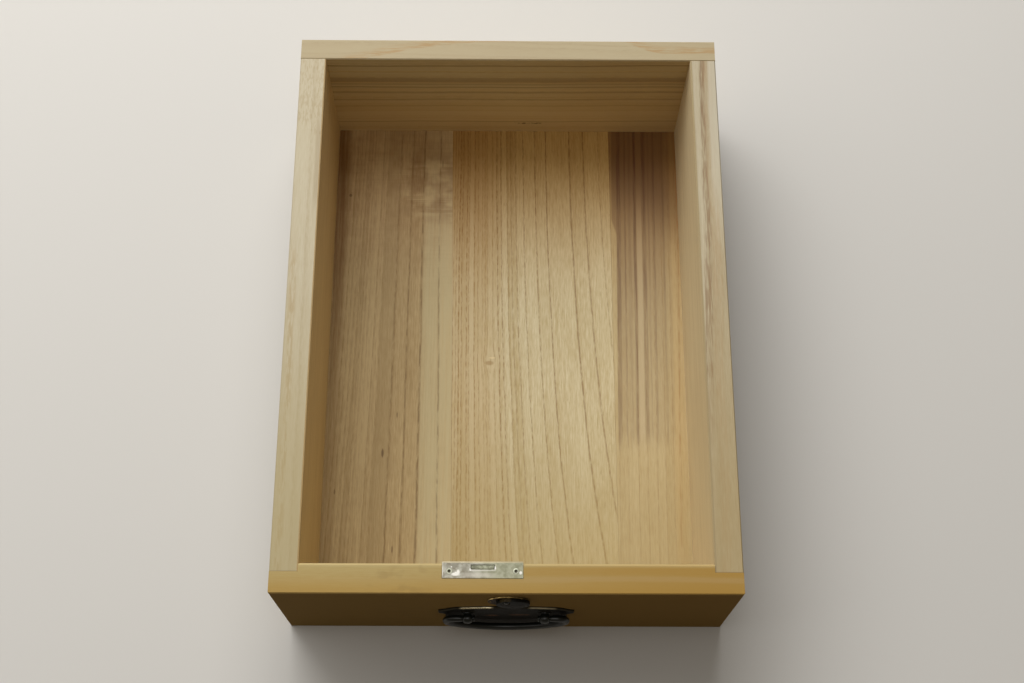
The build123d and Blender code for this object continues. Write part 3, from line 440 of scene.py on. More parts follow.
def bottom_middle_wood():
    """The middle bottom board: close straight rings on the left that fan out to wide ones on the right."""
    w, point, x, y, z = new_finish("kiri_bottom_middle")
    from_joint = w.plus(x, 45.3)
    run = w.plus(y, 84.0)
    bow = w.times(run, w.scaled(run, -0.00012, 0.0745))
    fan = w.times(bow, w.over(from_joint, 83.0))
    off_x, off_y = w.plus(x, 13.7), w.plus(y, 8.0)
    near = w.plus(w.times(off_x, off_x, 0.02), w.times(off_y, off_y, 0.012))
    swirl = w.times(w.math("EXPONENT", w.times(near, -1.0)), w.math("SIGN", off_x))
    across = wandering(w, w.plus(x, fan), point, 0.9, shift=3.0)
    across = w.scaled(swirl, -2.2, across)
    rings = rings_at(w, across, (-44.5, -41.9, -39.6, -36.6, -32.7, -30.4, -25.9, -22, -18.5, -16, -13.7,
                                 -9, -4.5, 0, 5.4, 9.2, 13.8, 21.4, 32.9, 43.5, 66.5, 80.2, 95))
    grain, colour = kiri_grain(
        w, point, rings, 12.0, rgb(211, 198, 162), rgb(180, 159, 112), rgb(130, 95, 50),
        line_width=1.35, line_strength=0.95, band_contrast=0.5, dash_length=4.5, fibre=1.5)
    honey = w.times(w.smooth(across, -20.0, 10.0, 1.0, 0.0), 0.4)
    colour = w.mix(honey, colour, rgb(182, 150, 96))
    knot = pit_mark(w, x, y, -14.2, -10.0, 5.0, 2.6)
    colour = w.tint(colour, knot, 0.55, rgb(150, 116, 62))
    glint = pit_mark(w, x, y, -12.0, -5.5, 3.5, 1.0)
    colour = w.tint(colour, glint, 0.6, rgb(226, 206, 160))
    pores = w.specks(point, (0.6, 0.14, 0.6), 0.36, 0.58, 0.2, 1.0, shift=47.0)
    colour = dark_lines(w, colour, across, pores, 1.0, rgb(128, 92, 46), (
        (66.5, 0.3, 0.5), (80.2, 0.25, 0.42), (43.5, 0.2, 0.3)))
    warm = w.smooth(y, -190.0, -20.0, 0.55, 0.0)
    colour = w.mix(warm, colour, rgb(166, 145, 92))
    colour = glue_line(w, colour, x, w.scaled(y, -0.0115, -45.1))
    colour = back_shade(w, colour, w.times(y, upper_face(w, z)), 0.95)
    return finish_wood(w, grain, colour)


def bottom_right_wood():
    """The right bottom board: dark violet-brown heartwood stripes that end two thirds of the way forward."""
    w, point, x, y, z = new_finish("kiri_bottom_right")
    across = wandering(w, w.scaled(w.plus(y, 84.0), -0.015, x), point, 0.6, shift=21.0)
    rings = rings_at(w, across, (84, 90.7, 97.2, 105.4, 112.6, 120, 127, 133, 139.2, 150))
    grain, colour = kiri_grain(
        w, point, rings, 2.0, rgb(198, 180, 138), rgb(178, 155, 109), rgb(134, 96, 52),
        line_width=1.2, line_strength=0.45, band_contrast=0.35, dash_length=7.0, fibre=1.3)
    ragged = w.scaled(w.minus(w.cloud(point, (0.35, 0.0, 0.35), shift=2.0), 0.5), 16.0, y)
    heart = w.smooth(ragged, -88.0, -66.0)
    veil = w.times(heart, w.smooth(y, -100.0, 205.0, 0.2, 0.7))
    inside = w.smooth(w.plus(across, w.smooth(y, 104.0, 122.0, 0.0, 4.0)), 89.0, 90.6)
    outside = w.smooth(across, 124.0, 139.0, 1.0, 0.2)
    veil = w.times(veil, inside, outside)
    colour = w.mix(veil, colour, rgb(138, 112, 82))
    gaps = w.times(stripe(w, across, 109.0, 1.2, 1.8), heart)
    gaps = w.times(gaps, w.smooth(y, 170.0, 90.0, 0.1, 1.0))
    colour = w.tint(colour, gaps, 0.38, rgb(202, 184, 150))
    stripes = None
    for middle, half, edge, depth in (
            (91.6, 1.1, 1.2, 0.8), (96.9, 0.2, 0.9, 0.6), (101.0, 0.5, 1.4, 0.35), (105.2, 0.5, 1.1, 1.0),
            (113.0, 0.9, 1.5, 0.75), (117.0, 0.2, 1.0, 0.4), (121.4, 0.3, 1.0, 0.65),
            (129.3, 0.3, 1.1, 0.5), (134.5, 0.3, 1.4, 0.35)):
        one = w.times(stripe(w, across, middle, half, edge), depth)
        stripes = one if stripes is None else w.most(stripes, one)
    strokes = w.specks(point, (0.7, 0.03, 0.7), 0.3, 0.65, 0.35, 1.0, detail=3.0, shift=8.0)
    deep_back = w.smooth(y, -60.0, 190.0, 0.55, 1.0)
    stripes = w.times(stripes, strokes, w.times(heart, deep_back))
    colour = w.tint(colour, stripes, 0.85, rgb(104, 74, 54))
    top = upper_face(w, z)
    # Darker brown toward the back right corner of the upper face.
    darker_back_corner = w.times(w.smooth(w.scaled(across, 0.7, y), 175.0, 240.0), top)
    colour = w.tint(colour, darker_back_corner, 0.45, rgb(92, 58, 36))
    red = stripe(w, across, w.smooth(y, -180.0, 110.0, 137.6, 141.2), 0.25, 0.9)
    red_pores = w.specks(point, (0.3, 0.05, 0.3), 0.38, 0.6, 0.15, 1.0, shift=40.0)
    colour = w.tint(colour, w.times(red, red_pores), 0.45, rgb(146, 96, 46))
    orange = w.times(stripe(w, across, 139.0, 2.0, 6.0), w.smooth(y, 150.0, -60.0, 0.15, 0.3))
    colour = w.mix(orange, colour, rgb(196, 160, 98))
    colour = glue_line(w, colour, x, 87.3)
    colour = back_shade(w, colour, w.times(y, top), 0.9)
    colour = w.mix(w.smooth(y, -60.0, -190.0, 0.0, 0.45), colour, rgb(160, 142, 98))
    return finish_wood(w, grain, colour)


def left_side_wood():
    """The left side: cream, with a fibrous patch at its back end and a yellower front end."""
    w, point, x, y, z = new_finish("kiri_left_side")
    across = wandering(w, x, point, 2.2, shift=5.0)
    rings = rings_about(w, across, z, -185.0, 30.0, 5.5)
    grain, colour = kiri_grain(
        w, point, rings, 7.0, rgb(197, 187, 161), rgb(179, 164, 131), rgb(146, 120, 82),
        line_width=1.4, line_strength=0.22, band_contrast=0.4, fibre=0.8)
    edge = w.scaled(w.plus(x, 162.5), 0.9, y)
    fibrous = w.smooth(edge, 145.0, 150.0)
    strokes = w.specks(point, (0.95, 0.17, 0.95), 0.47, 0.62, detail=2.0, shift=14.0)
    colour = w.tint(colour, w.times(fibrous, strokes), 0.32, rgb(160, 136, 96))
    rim = w.times(stripe(w, x, -147.5, 0.8, 2.0), stripe(w, y, 112.0, 22.0, 30.0))
    colour = w.tint(colour, rim, 0.4, rgb(150, 128, 92))
    outer = w.times(stripe(w, across, -160.0, 1.0, 2.5), w.smooth(y, 60.0, 20.0))
    outer = w.times(outer, w.specks(point, (0.9, 0.1, 0.9), 0.42, 0.6, shift=4.0))
    colour = w.tint(colour, outer, 0.4, rgb(164, 134, 84))
    colour = w.mix(w.smooth(y, -205.0, 40.0, 0.6, 0.0), colour, rgb(172, 154, 104))
    inner = w.smooth(x, -SIDE_INNER - 0.8, -SIDE_INNER)
    # Painted light: the inner face is written lighter and warmer than the board, for the warm light bounced
    # between the walls.
    colour = w.tint(colour, inner, 0.75, rgb(226, 197, 144))
    colour = side_ends(w, colour, point, inner, 91.0, rgb(164, 128, 76))
    return finish_wood(w, grain, colour)


def right_side_wood():
    """The right side: cream edges with wavy brown streaks along its middle."""
    w, point, x, y, z = new_finish("kiri_right_side")
    across = wandering(w, w.scaled(y, -0.012, x), point, 2.6, shift=15.0)
    rings = rings_about(w, across, z, 205.0, 40.0, 5.0)
    grain, colour = kiri_grain(
        w, point, rings, 9.0, rgb(195, 184, 155), rgb(171, 153, 119), rgb(142, 113, 76),
        line_width=1.5, line_strength=0.25, band_contrast=0.4, fibre=1.0)
    strokes = w.specks(point, (1.0, 0.06, 1.0), 0.35, 0.65, detail=3.0, shift=24.0)
    lean = w.scaled(y, 0.016, 149.8)
    streak = stripe(w, across, lean, w.smooth(y, 165.0, 70.0, 0.7, 2.1), 1.5)
    streak = w.times(streak, w.smooth(y, -150.0, -60.0), strokes)
    colour = w.tint(colour, streak, 0.78, rgb(140, 110, 77))
    vein = w.times(stripe(w, across, w.plus(lean, -1.7), 0.2, 0.8), w.smooth(y, -150.0, 0.0))
    colour = w.tint(colour, w.times(vein, strokes), 0.5, rgb(120, 88, 56))
    warm = w.times(stripe(w, across, 157.0, 2.0, 3.0), w.smooth(strokes, 0.1, 0.9, 0.2, 0.8))
    colour = w.tint(colour, warm, 0.3, rgb(176, 138, 92))
    white = w.times(stripe(w, across, 161.0, 2.5, 3.0), w.smooth(y, 20.0, 150.0))
    colour = w.tint(colour, white, 0.55, rgb(214, 208, 188))
    bright = w.times(stripe(w, across, 147.8, 1.0, 2.0), w.smooth(y, -60.0, 120.0, 0.3, 0.8))
    colour = w.tint(colour, bright, 0.4, rgb(212, 202, 176))
    colour = w.mix(w.smooth(y, -205.0, 60.0, 0.55, 0.0), colour, rgb(173, 149, 98))
    # Painted shade: the top edge darker toward the back, where the lamp from behind lights it most.
    top_back_shade = w.times(w.smooth(y, 30.0, 180.0), w.smooth(z, 119.5, 120.9))
    colour = w.shade(colour, w.times(top_back_shade, 0.6), rgb(232, 230, 229))
    inner = w.smooth(x, SIDE_INNER, SIDE_INNER + 0.8, 1.0, 0.0)
    # Painted light: the inner face is written lighter and warmer than the board, for the warm light bounced
    # between the walls.
    colour = w.tint(colour, inner, 0.75, rgb(226, 208, 168))
    # Painted shade: the chamfer along the inner top arris darkened against the bright line the lamps give
    # it.
    arris = w.times(w.smooth(x, 146.6, 146.0), w.smooth(z, 120.3, 120.9))
    colour = w.tint(colour, arris, 0.85, rgb(156, 139, 104))
    colour = side_ends(w, colour, point, inner, 96.0, rgb(168, 140, 96))
    return finish_wood(w, grain, colour)


def back_wood():
    """The back: a cathedral arch of orange-brown fibres over its top edge, level bands on its faces."""
    w, _, x, y, z = new_finish("kiri_back")
    turned = w.joined(y, x, z)
    level = wandering(w, w.scaled(x, -0.012, z), turned, 1.6, shift=33.0)
    rings = rings_about(w, y, level, 300.0, -40.0, 5.2, 1.3)
    grain, colour = kiri_grain(
        w, turned, rings, 3.0, rgb(200, 184, 144), rgb(182, 158, 112), rgb(136, 100, 54),
        line_width=1.8, line_strength=0.4, band_contrast=0.6, fibre=0.7)
    top = w.smooth(z, 119.8, 121.0)
    colour = w.tint(colour, top, 0.7, rgb(170, 156, 127))
    off = w.plus(w.math("MINIMUM", x, 8.0), -8.0)
    arch = w.scaled(w.times(off, off), -0.00113, 17.2)
    arch = w.plus(arch, w.smooth(x, 0.0, 40.0, 0.0, 8.0))
    arch = w.math("MINIMUM", arch, w.smooth(x, 66.0, 126.0, 26.0, 6.5))
    ruffle = w.minus(w.cloud(turned, (0.4, 0.035, 0.4), detail=2.0, shift=6.0), 0.5)
    above = w.minus(w.plus(w.minus(y, 205.0), w.times(ruffle, 2.0)), arch)
    crisp = w.smooth(above, -0.4, 0.5)
    fading = w.smooth(above, 2.0, 9.0, 1.0, 0.0)
    strokes = w.specks(turned, (1.0, 0.09, 1.0), 0.36, 0.6, 0.1, 1.0, detail=3.0, shift=44.0)
    flame = w.times(crisp, fading, strokes, top)
    colour = w.tint(colour, flame, 0.7, rgb(172, 138, 88))
    inner = w.smooth(y, 205.3, 206.0, 1.0, 0.0)
    # Painted shade: the inner face darker toward the right.
    dim = w.times(inner, w.smooth(x, -10.0, 90.0))
    colour = w.shade(colour, dim, rgb(236, 228, 218))
    # Painted light: the inner face lighter and warmer toward its foot, where it meets the bottom.
    low_glow = w.smooth(z, 100.0, 20.0, 0.15, 0.6)
    colour = w.mix(w.times(inner, low_glow), colour, rgb(218, 188, 138))
    for height, half, edge, depth in (
            (112.5, 0.3, 1.0, 0.45), (90.0, 2.4, 3.0, 0.36), (84.0, 0.5, 1.4, 0.26), (79.5, 0.4, 1.2, 0.35),
            (71.3, 0.5, 1.4, 0.3), (60.4, 0.4, 1.4, 0.28), (50.0, 0.2, 1.2, 0.16), (24.0, 0.2, 0.8, 0.35)):
        band = w.times(stripe(w, level, height, half, edge), inner)
        colour = w.tint(colour, band, depth, rgb(104, 66, 28))
    for height, depth in ((86.7, 0.3), (75.5, 0.25), (104.0, 0.2)):
        band = w.times(stripe(w, level, height, 0.2, 1.2), inner)
        colour = w.tint(colour, band, depth, rgb(224, 190, 132))
    marks = w.times(stripe(w, x, 17.0, 10.0, 3.0), stripe(w, z, 21.0, 0.7, 0.9))
    marks = w.times(marks, w.specks(turned, (0.9, 0.35, 0.9), 0.45, 0.6, shift=52.0))
    colour = w.tint(colour, w.times(marks, inner), 0.7, rgb(60, 36, 16))
    return finish_wood(w, grain, colour)


def front_wood():
    """The front: straw-coloured, paler along its inner arris, golden along its outer one, its face darkened
    with painted shade.
    """
    w, _, x, y, z = new_finish("kiri_front")
    turned = w.joined(y, x, z)
    level = wandering(w, w.scaled(x, 0.006, z), turned, 1.5, shift=53.0)
    rings = rings_about(w, y, level, -330.0, -60.0, 5.0, 1.2)
    grain, colour = kiri_grain(
        w, turned, rings, 6.0, rgb(186, 166, 114), rgb(170, 142, 84), rgb(140, 104, 56),
        line_width=1.3, line_strength=0.2, band_contrast=0.3, fibre=0.6, clouds=0.6)
    outer = w.smooth(y, -222.5, -206.0, 0.75, 0.0)
    colour = w.mix(outer, colour, rgb(176, 142, 74))
    golden = w.smooth(x, -80.0, 160.0, 0.0, 0.65)
    colour = w.mix(golden, colour, rgb(168, 129, 57))
    sweep = w.scaled(w.cloud(turned, (0.02, 0.012, 0.02), shift=12.0), 4.0, y)
    honey = w.times(w.smooth(x, -4.0, 14.0), stripe(w, sweep, -204.5, 2.2, 2.5))
    colour = w.tint(colour, honey, 0.4, rgb(172, 134, 62))
    rose = w.times(w.smooth(x, -10.0, 30.0, 0.3, 1.0), stripe(w, sweep, -211.0, 0.8, 2.0))
    colour = w.tint(colour, rose, 0.35, rgb(182, 154, 108))
    pale = w.smooth(y, -205.5, -202.0, 0.0, 0.5)
    colour = w.mix(pale, colour, rgb(198, 182, 136))
    # Greyish brown patches on the top toward the left.
    greyish_patches = w.times(w.specks(turned, (0.12, 0.07, 0.12), 0.5, 0.65, detail=2.0, shift=2.0),
                     stripe(w, x, -75.0, 8.0, 22.0))
    colour = w.tint(colour, greyish_patches, 0.2, rgb(132, 108, 68))
    # Painted shade: the outer face darker and browner than the top.
    face = w.smooth(y, -222.9, -222.3, 1.0, 0.0)
    colour = w.tint(colour, face, 0.5, rgb(166, 137, 88))
    return finish_wood(w, grain, colour, w.scaled(face, 0.25, grain["Roughness"]), gloss=0.12)


def peg_wood():
    """Shaved hardwood pegs."""
    w, point, *_ = new_finish("peg_wood")

    streaks = w.cloud(point, (1.2, 1.2, 0.2), detail=3.0)
    w.feed(w.shader.inputs["Base Color"], w.mix(streaks, rgb(196, 168, 124), rgb(150, 116, 72)))
    w.shader.inputs["Roughness"].default_value = 0.6
    w.shader.inputs["Specular IOR Level"].default_value = 0.3
    return w.material


def put_material(node, material):
    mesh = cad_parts[node].data
    mesh.materials.clear()
    mesh.materials.append(material)


def finish_boards():
    for node, material in (
            ("left_side_board", left_side_wood()), ("right_side_board", right_side_wood()),
            ("back_board", back_wood()), ("front_board", front_wood()),
            ("bottom_board_left", bottom_left_wood()), ("bottom_board_middle", bottom_middle_wood()),
            ("bottom_board_right", bottom_right_wood())):
        put_material(node, material)
    pegs = peg_wood()
    for node in ("bottom_pegs", "back_corner_pegs"):
        put_material(node, pegs)


# ------------------------ metal finishes
def metal_wear(w, point, cloud_size, pit_size):
    return w.group("metal_wear", {"Point": point, "Cloud Size": cloud_size, "Pit Size": pit_size})


def front_rims(w):
    """1 on the rims and bevels of a flat fitting, 0 on its face."""
    turned = w.node("ShaderNodeTexCoord").outputs["Normal"]
    return w.smooth(w.math("ABSOLUTE", w.parts(turned)["Y"]), 0.72, 0.96, 1.0, 0.0)


def finish_metal(w, colour, metallic, roughness, height, depth, ior=None):
    """Gives the metal its colour, gloss and relief, depth in millimetres, and hands back its material."""
    for name, value in (("Base Color", colour), ("Metallic", metallic), ("Roughness", roughness)):
        w.feed(w.shader.inputs[name], value)
    relief = w.node("ShaderNodeBump", {"Strength": 0.4, "Distance": depth * MM, "Height": height})
    w.feed(w.shader.inputs["Normal"], relief.outputs[0])
    if ior:
        w.shader.inputs["IOR"].default_value = ior
    return w.material


def dark_patina():
    """Smooth black-green lacquer over brass, for the bail, its posts and their washers."""
    w, point, *_ = new_finish("dark_patina")
    wear = metal_wear(w, point,  9.0, 0.9)
    colour = w.mix(wear["Clouds"], rgb(15, 18, 14), rgb(26, 29, 24))
    rubbed = w.times(wear["Scratches"], 0.3)
    colour = w.mix(rubbed, colour, rgb(52, 52, 38))
    roughness = w.scaled(wear["Clouds"], 0.14, 0.26)
    return finish_metal(w, colour, 0.0, roughness, wear["Pits"], 0.03, ior=1.55)


def pull_plate_metal():
    """Plate behind the pull: blackened face with two painted coppery glints, and its top rims worn to brass
    with a painted highlight.
    """
    w, point, x, y, z = new_finish("pull_plate")
    wear = metal_wear(w, point, 7.0, 0.8)
    colour = w.mix(wear["Clouds"], rgb(14, 12, 7), rgb(26, 22, 14))
    # Painted highlight: two coppery glints on the face below the cover.
    copper_glints = w.most(pit_mark(w, x, z, 9.5, 56.0, 9.5, 4.0), pit_mark(w, x, z, -10.5, 53.5, 7.0, 3.0))
    copper_glints = w.times(copper_glints, w.specks(point, (0.35, 0.5, 0.8), 0.3, 0.65, detail=3.0))
    rims = front_rims(w)
    # Worn brass and painted highlight together: near-white along the top rim, strongest on its left stretch,
    # dimmer on the right.
    bare_rim_glint = w.most(stripe(w, x, -21.7, 9.5, 4.0), w.times(stripe(w, x, 26.0, 7.0, 5.0), 0.55))
    bare_rim_glint = w.times(rims, w.most(bare_rim_glint, 0.05))
    on_edge = w.times(w.smooth(y, -224.95, -224.8), w.smooth(z, 62.0, 68.0, 0.15, 1.0))
    bare_rim_glint = w.times(bare_rim_glint, on_edge, w.smooth(wear["Clouds"], 0.3, 0.5, 0.7, 1.0))
    bare_rim_glint = w.times(bare_rim_glint, w.smooth(y, -223.5, -224.1, 0.12, 1.0))
    colour = w.tint(colour, copper_glints, 0.6, rgb(150, 106, 74))
    colour = w.mix(bare_rim_glint, colour, rgb(255, 243, 204))
    metallic = w.times(bare_rim_glint, 0.9)
    roughness = w.scaled(bare_rim_glint, -0.28, w.scaled(wear["Clouds"], 0.2, 0.42))
    return finish_metal(w, colour, metallic, roughness, wear["Pits"], 0.03, ior=1.2)


def keyhole_plate_metal():
    """Round keyhole plate: brown face, bright brass along the top of its rim, partly worn brass and partly
    painted highlight.
    """
    w, point, _, y, z = new_finish("keyhole_plate")

    wear = metal_wear(w, point, 5.0, 0.7)
    colour = w.mix(wear["Clouds"], rgb(40, 26, 8), rgb(66, 48, 24))
    # Worn brass on the rim, painted brighter along the top as a highlight.
    bare_rim_glint = w.times(front_rims(w), w.smooth(z, 98.0, 108.0, 0.15, 1.0))
    bare_rim_glint = w.times(bare_rim_glint, w.smooth(y, -223.3, -223.8, 0.2, 1.0))
    bare_rim_glint = w.times(bare_rim_glint, w.specks(point, (0.35, 0.35, 0.35), 0.35, 0.55, 0.4, 1.0, shift=7.0))
    colour = w.mix(bare_rim_glint, colour, rgb(240, 208, 136))
    metallic = w.scaled(bare_rim_glint, 0.7, 0.2)
    roughness = w.scaled(bare_rim_glint, -0.2, w.scaled(wear["Clouds"], 0.2, 0.38))
    return finish_metal(w, colour, metallic, roughness, wear["Pits"], 0.03, ior=1.2)


def cover_metal():
    """Domed keyhole cover: near black with a green-grey sheen, the rim of its ear a little rubbed and
    lightened as a painted glint.
    """
    w, point, x, _, z = new_finish("keyhole_cover")
    wear = metal_wear(w, point, 5.0, 0.7)
    colour = w.mix(wear["Clouds"], rgb(12, 11, 7), rgb(24, 22, 16))
    off = w.length(x, w.minus(z, COVER_PIVOT_Z))
    # The ear's rim: a little rubbed brass, and partly a painted glint.
    ear = w.times(w.smooth(off, 3.6, 5.5, 1.0, 0.0), front_rims(w))
    colour = w.tint(colour, ear, 0.2, rgb(150, 128, 82))
    return finish_metal(w, colour, 0.0, w.scaled(wear["Clouds"], 0.2, 0.36), wear["Pits"], 0.05, ior=1.2)


def old_brass():
    """Rubbed yellow brass of the nails, the spring and the ward."""
    w, point, *_ = new_finish("old_brass")
    wear = metal_wear(w, point,  3.0, 0.5)
    colour = w.mix(wear["Clouds"], rgb(168, 138, 82), rgb(112, 86, 46))
    return finish_metal(w, colour, 0.85, w.scaled(wear["Clouds"], 0.25, 0.32), wear["Pits"], 0.04)


def lock_sheet_metal():
    """Worn nickelled sheet: mottled brown-grey at its left, green-grey at its right, painted white glints.
    """
    w, point, x, y, z = new_finish("lock_sheet")
    wear = metal_wear(w, point, 5.0, 0.8)
    left = w.mix(w.smooth(wear["Clouds"], 0.36, 0.62), rgb(180, 178, 165), rgb(146, 142, 128))
    right = w.mix(w.smooth(wear["Clouds"], 0.4, 0.64), rgb(168, 168, 146), rgb(146, 146, 122))
    colour = w.mix(w.smooth(x, -26.0, -8.0), left, right)
    stain = w.times(w.specks(point, (0.3, 0.5, 0.5), 0.5, 0.64, detail=3.0, shift=19.0),
                    w.smooth(x, -18.0, -36.0))
    colour = w.tint(colour, stain, 0.45, rgb(116, 104, 84))
    seats = w.most(*[pit_mark(w, x, y, *place, 2.9, 2.9) for place in SCREW_PLACES])
    colour = w.tint(colour, seats, 0.6, rgb(104, 98, 80))
    light = w.times(stripe(w, y, -209.8, 0.7, 1.6), stripe(w, x, -20.0, 6.0, 10.0))
    colour = w.tint(colour, light, 0.4, rgb(214, 208, 196))
    # Painted highlights: a light line along the slot's front lip, and white glints by the screws, at the
    # slot's ends and along the left edge.
    lip = w.times(stripe(w, x, -16.7, 8.6, 1.0), stripe(w, y, -206.6, 0.15, 0.5))
    painted_glints = w.times(lip, 0.35)
    for nick_x, nick_y, wide, long, depth in (
            (-35.6, -209.3, 3.8, 1.6, 1.0), (-25.2, -206.0, 0.9, 1.3, 1.0), (-33.7, -207.9, 1.5, 2.4, 1.0),
            (-35.0, -208.7, 2.0, 1.6, 1.0), (-8.0, -204.9, 0.9, 1.7, 1.0), (-38.4, -204.1, 0.6, 0.6, 0.8),
            (9.8, -208.2, 1.4, 1.5, 1.0), (-44.4, -206.0, 0.35, 6.5, 0.7)):
        painted_glints = w.most(painted_glints, w.times(pit_mark(w, x, y, nick_x, nick_y, wide, long), depth))
    top = w.smooth(z, 121.3, 121.6)
    colour = w.mix(w.smooth(z, 121.0, 119.0, 0.0, 0.75), colour,
                   w.mix(wear["Clouds"], rgb(180, 176, 160), rgb(146, 140, 122)))
    painted_glints = w.times(painted_glints, top)
    colour = w.mix(painted_glints, colour, rgb(250, 248, 240))
    # Painted highlight: the bend of the rear fold lighter.
    fold = w.smooth(y, -201.5, -200.9)
    colour = w.tint(colour, w.times(fold, w.smooth(z, 119.5, 121.0)), 0.8, rgb(204, 192, 160))
    roughness = w.scaled(fold, 0.15, w.scaled(wear["Clouds"], 0.2, 0.42))
    metallic = w.scaled(painted_glints, -0.5, 0.7)
    height = w.scaled(wear["Pits"], -0.5, w.times(wear["Clouds"], 2.0))
    return finish_metal(w, colour, metallic, roughness, height, 0.12)


def works_metal():
    """Plain nickelled iron of the cap, pins, rivets and screws."""
    w, point, *_ = new_finish("lock_works")
    wear = metal_wear(w, point,  4.0, 0.6)
    colour = w.mix(wear["Clouds"], rgb(176, 172, 156), rgb(128, 122, 104))
    return finish_metal(w, colour, 0.75, w.scaled(wear["Clouds"], 0.25, 0.38), wear["Pits"], 0.05)


def bolt_metal():
    """The bolt: grey-green and speckled on its end, darker toward the left."""
    w, point, x, *_ = new_finish("bolt_metal")

    wear = metal_wear(w, point, 2.0, 0.45)
    colour = w.mix(w.smooth(wear["Clouds"], 0.4, 0.6), rgb(176, 178, 154), rgb(142, 143, 120))
    colour = w.mix(w.smooth(x, -16.0, -24.0, 0.0, 0.55), colour, rgb(96, 94, 76))
    colour = w.tint(colour, w.smooth(wear["Pits"], 0.45, 0.8), 0.4, rgb(92, 92, 74))
    return finish_metal(w, colour, 0.4, 0.55, wear["Pits"], 0.08)


def screw_metal():
    """Screws in the selvedge: a pale polished ring, and a darker cross recess."""
    w, point, x, y, z = new_finish("selvedge_screws")
    wear = metal_wear(w, point, 2.0, 0.4)
    spread = w.math("MINIMUM", *[w.length(w.minus(x, head_x), w.minus(y, head_y))
                                 for head_x, head_y in SCREW_PLACES])
    colour = w.mix(w.smooth(spread, 0.9, 1.4), rgb(84, 80, 64), rgb(188, 190, 170))
    # Darker in the cross recess.
    colour = w.mix(w.smooth(z, 121.7, 121.2), colour, rgb(56, 52, 40))
    return finish_metal(w, colour, 0.6, 0.4, wear["Clouds"], 0.08)


# ------------------------ shapes of the fittings
def copy_solid(node, bevel):
    """A copy of the solid's mesh with its corners joined, flat faces made whole and arrises rounded."""
    bm = bmesh.new()
    bm.from_mesh(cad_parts[node].data)
    bmesh.ops.remove_doubles(bm, verts=bm.verts, dist=0.002 * MM)
    bmesh.ops.dissolve_limit(bm, angle_limit=radians(0.5), verts=bm.verts, edges=bm.edges)
    arrises = [edge for edge in bm.edges if edge.calc_face_angle(0.0) > radians(ARRIS_ANGLE)]
    bmesh.ops.bevel(bm, geom=arrises, offset=bevel * MM, offset_type="OFFSET", affect="EDGES", segments=2,
                    profile=0.5, material=-1, clamp_overlap=True)
    return bm


def place_piece(name, bm, material, body, slot, *replaced):
    """Make the shape an object on its body; broad faces stay flat and small ones shade smoothly."""
    bmesh.ops.recalc_face_normals(bm, faces=bm.faces)
    for face in bm.faces:
        face.smooth = face.calc_area() < BROAD_FACE * MM ** 2
    for edge in bm.edges:
        edge.smooth = edge.calc_face_angle(0.0) < radians(CREASE_ANGLE)
    mesh = bpy.data.meshes.new(name)
    bm.to_mesh(mesh)
    bm.free()
    mesh.materials.append(material)
    obj = bpy.data.objects.new(name, mesh)
    bpy.context.scene.collection.objects.link(obj)
    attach(obj, body)
    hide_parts(*replaced)


def bail_line():
    """Stations from the left knob to the right one: X, Z below the axis, direction, bar radius."""
    curl_x, corner_x = BAIL_HALF_WIDTH - BAIL_CURL, BAIL_HALF_WIDTH - BAIL_CORNER
    sag = BAIL_DROP - BAIL_CURL
    bend = (corner_x ** 2 + sag ** 2 - BAIL_CORNER ** 2) / (2 * (sag - BAIL_CORNER))
    turn = pi / 2 - atan2(corner_x, bend - sag)
    half = [(x, 0.0, 1.0, 0.0, r) for x, r in KNOB_STATIONS + ((curl_x, BAIL_BAR),)]
    for centre_x, centre_z, radius, start, stop, count in (
            (curl_x, -BAIL_CURL, BAIL_CURL, pi / 2, 0.0, 12),
            (corner_x, -BAIL_CURL, BAIL_CORNER, 0.0, -turn, 12),
            (0.0, bend - BAIL_DROP, bend, -turn, -pi / 2, 16)):
        for i in range(1, count + 1):
            a = start + (stop - start) * i / count
            half.append((centre_x + radius * cos(a), centre_z + radius * sin(a), sin(a), -cos(a), BAIL_BAR))
    left = [(-x, z, -dx, dz, r) for x, z, dx, dz, r in half[:-1]]
    right = [(x, z, -dx, -dz, r) for x, z, dx, dz, r in half]
    return left + right[::-1]


def bail_shape():
    """The bar swept along its line, slightly uneven from the hammer."""
    bm = bmesh.new()
    rings = []
    for x, z, dx, dz, radius in bail_line():
        ring = []
        for k in range(ROUND_STEPS):
            a = 2 * pi * k / ROUND_STEPS
            dent = 1.0 - 0.03 * (0.5 + 0.5 * noise.noise(Vector((x * 0.14, z * 0.14, 3 * cos(a)))))
            r = radius * (dent if radius == BAIL_BAR else 1.0)
            ring.append(bm.verts.new(MM * Vector((x - dz * r * cos(a), BAIL_Y + r * sin(a),
                                                  BAIL_Z + z + dx * r * cos(a)))))
        rings.append(ring)
    for one, two in zip(rings, rings[1:]):
        for k in range(ROUND_STEPS):
            bm.faces.new((one[k], one[(k + 1) % ROUND_STEPS], two[(k + 1) % ROUND_STEPS], two[k]))
    bm.faces.new(rings[0])
    bm.faces.new(rings[-1])
    return bm


def turned_ring(bm, profile, centre, axis):
    """A closed profile of (along, radius) in millimetres, turned once round an axis through the centre."""
    axis = Vector(axis)
    out = Vector((0, 0, 1))
    verts = [bm.verts.new(MM * (Vector(centre) + along * axis + radius * out)) for along, radius in profile]
    edges = [bm.edges.new(pair) for pair in zip(verts, verts[1:] + verts[:1])]
    bmesh.ops.spin(bm, geom=verts + edges, cent=MM * Vector(centre), axis=axis, dvec=(0, 0, 0), angle=2 * pi,
                   steps=ROUND_STEPS, use_merge=True, use_duplicate=False)


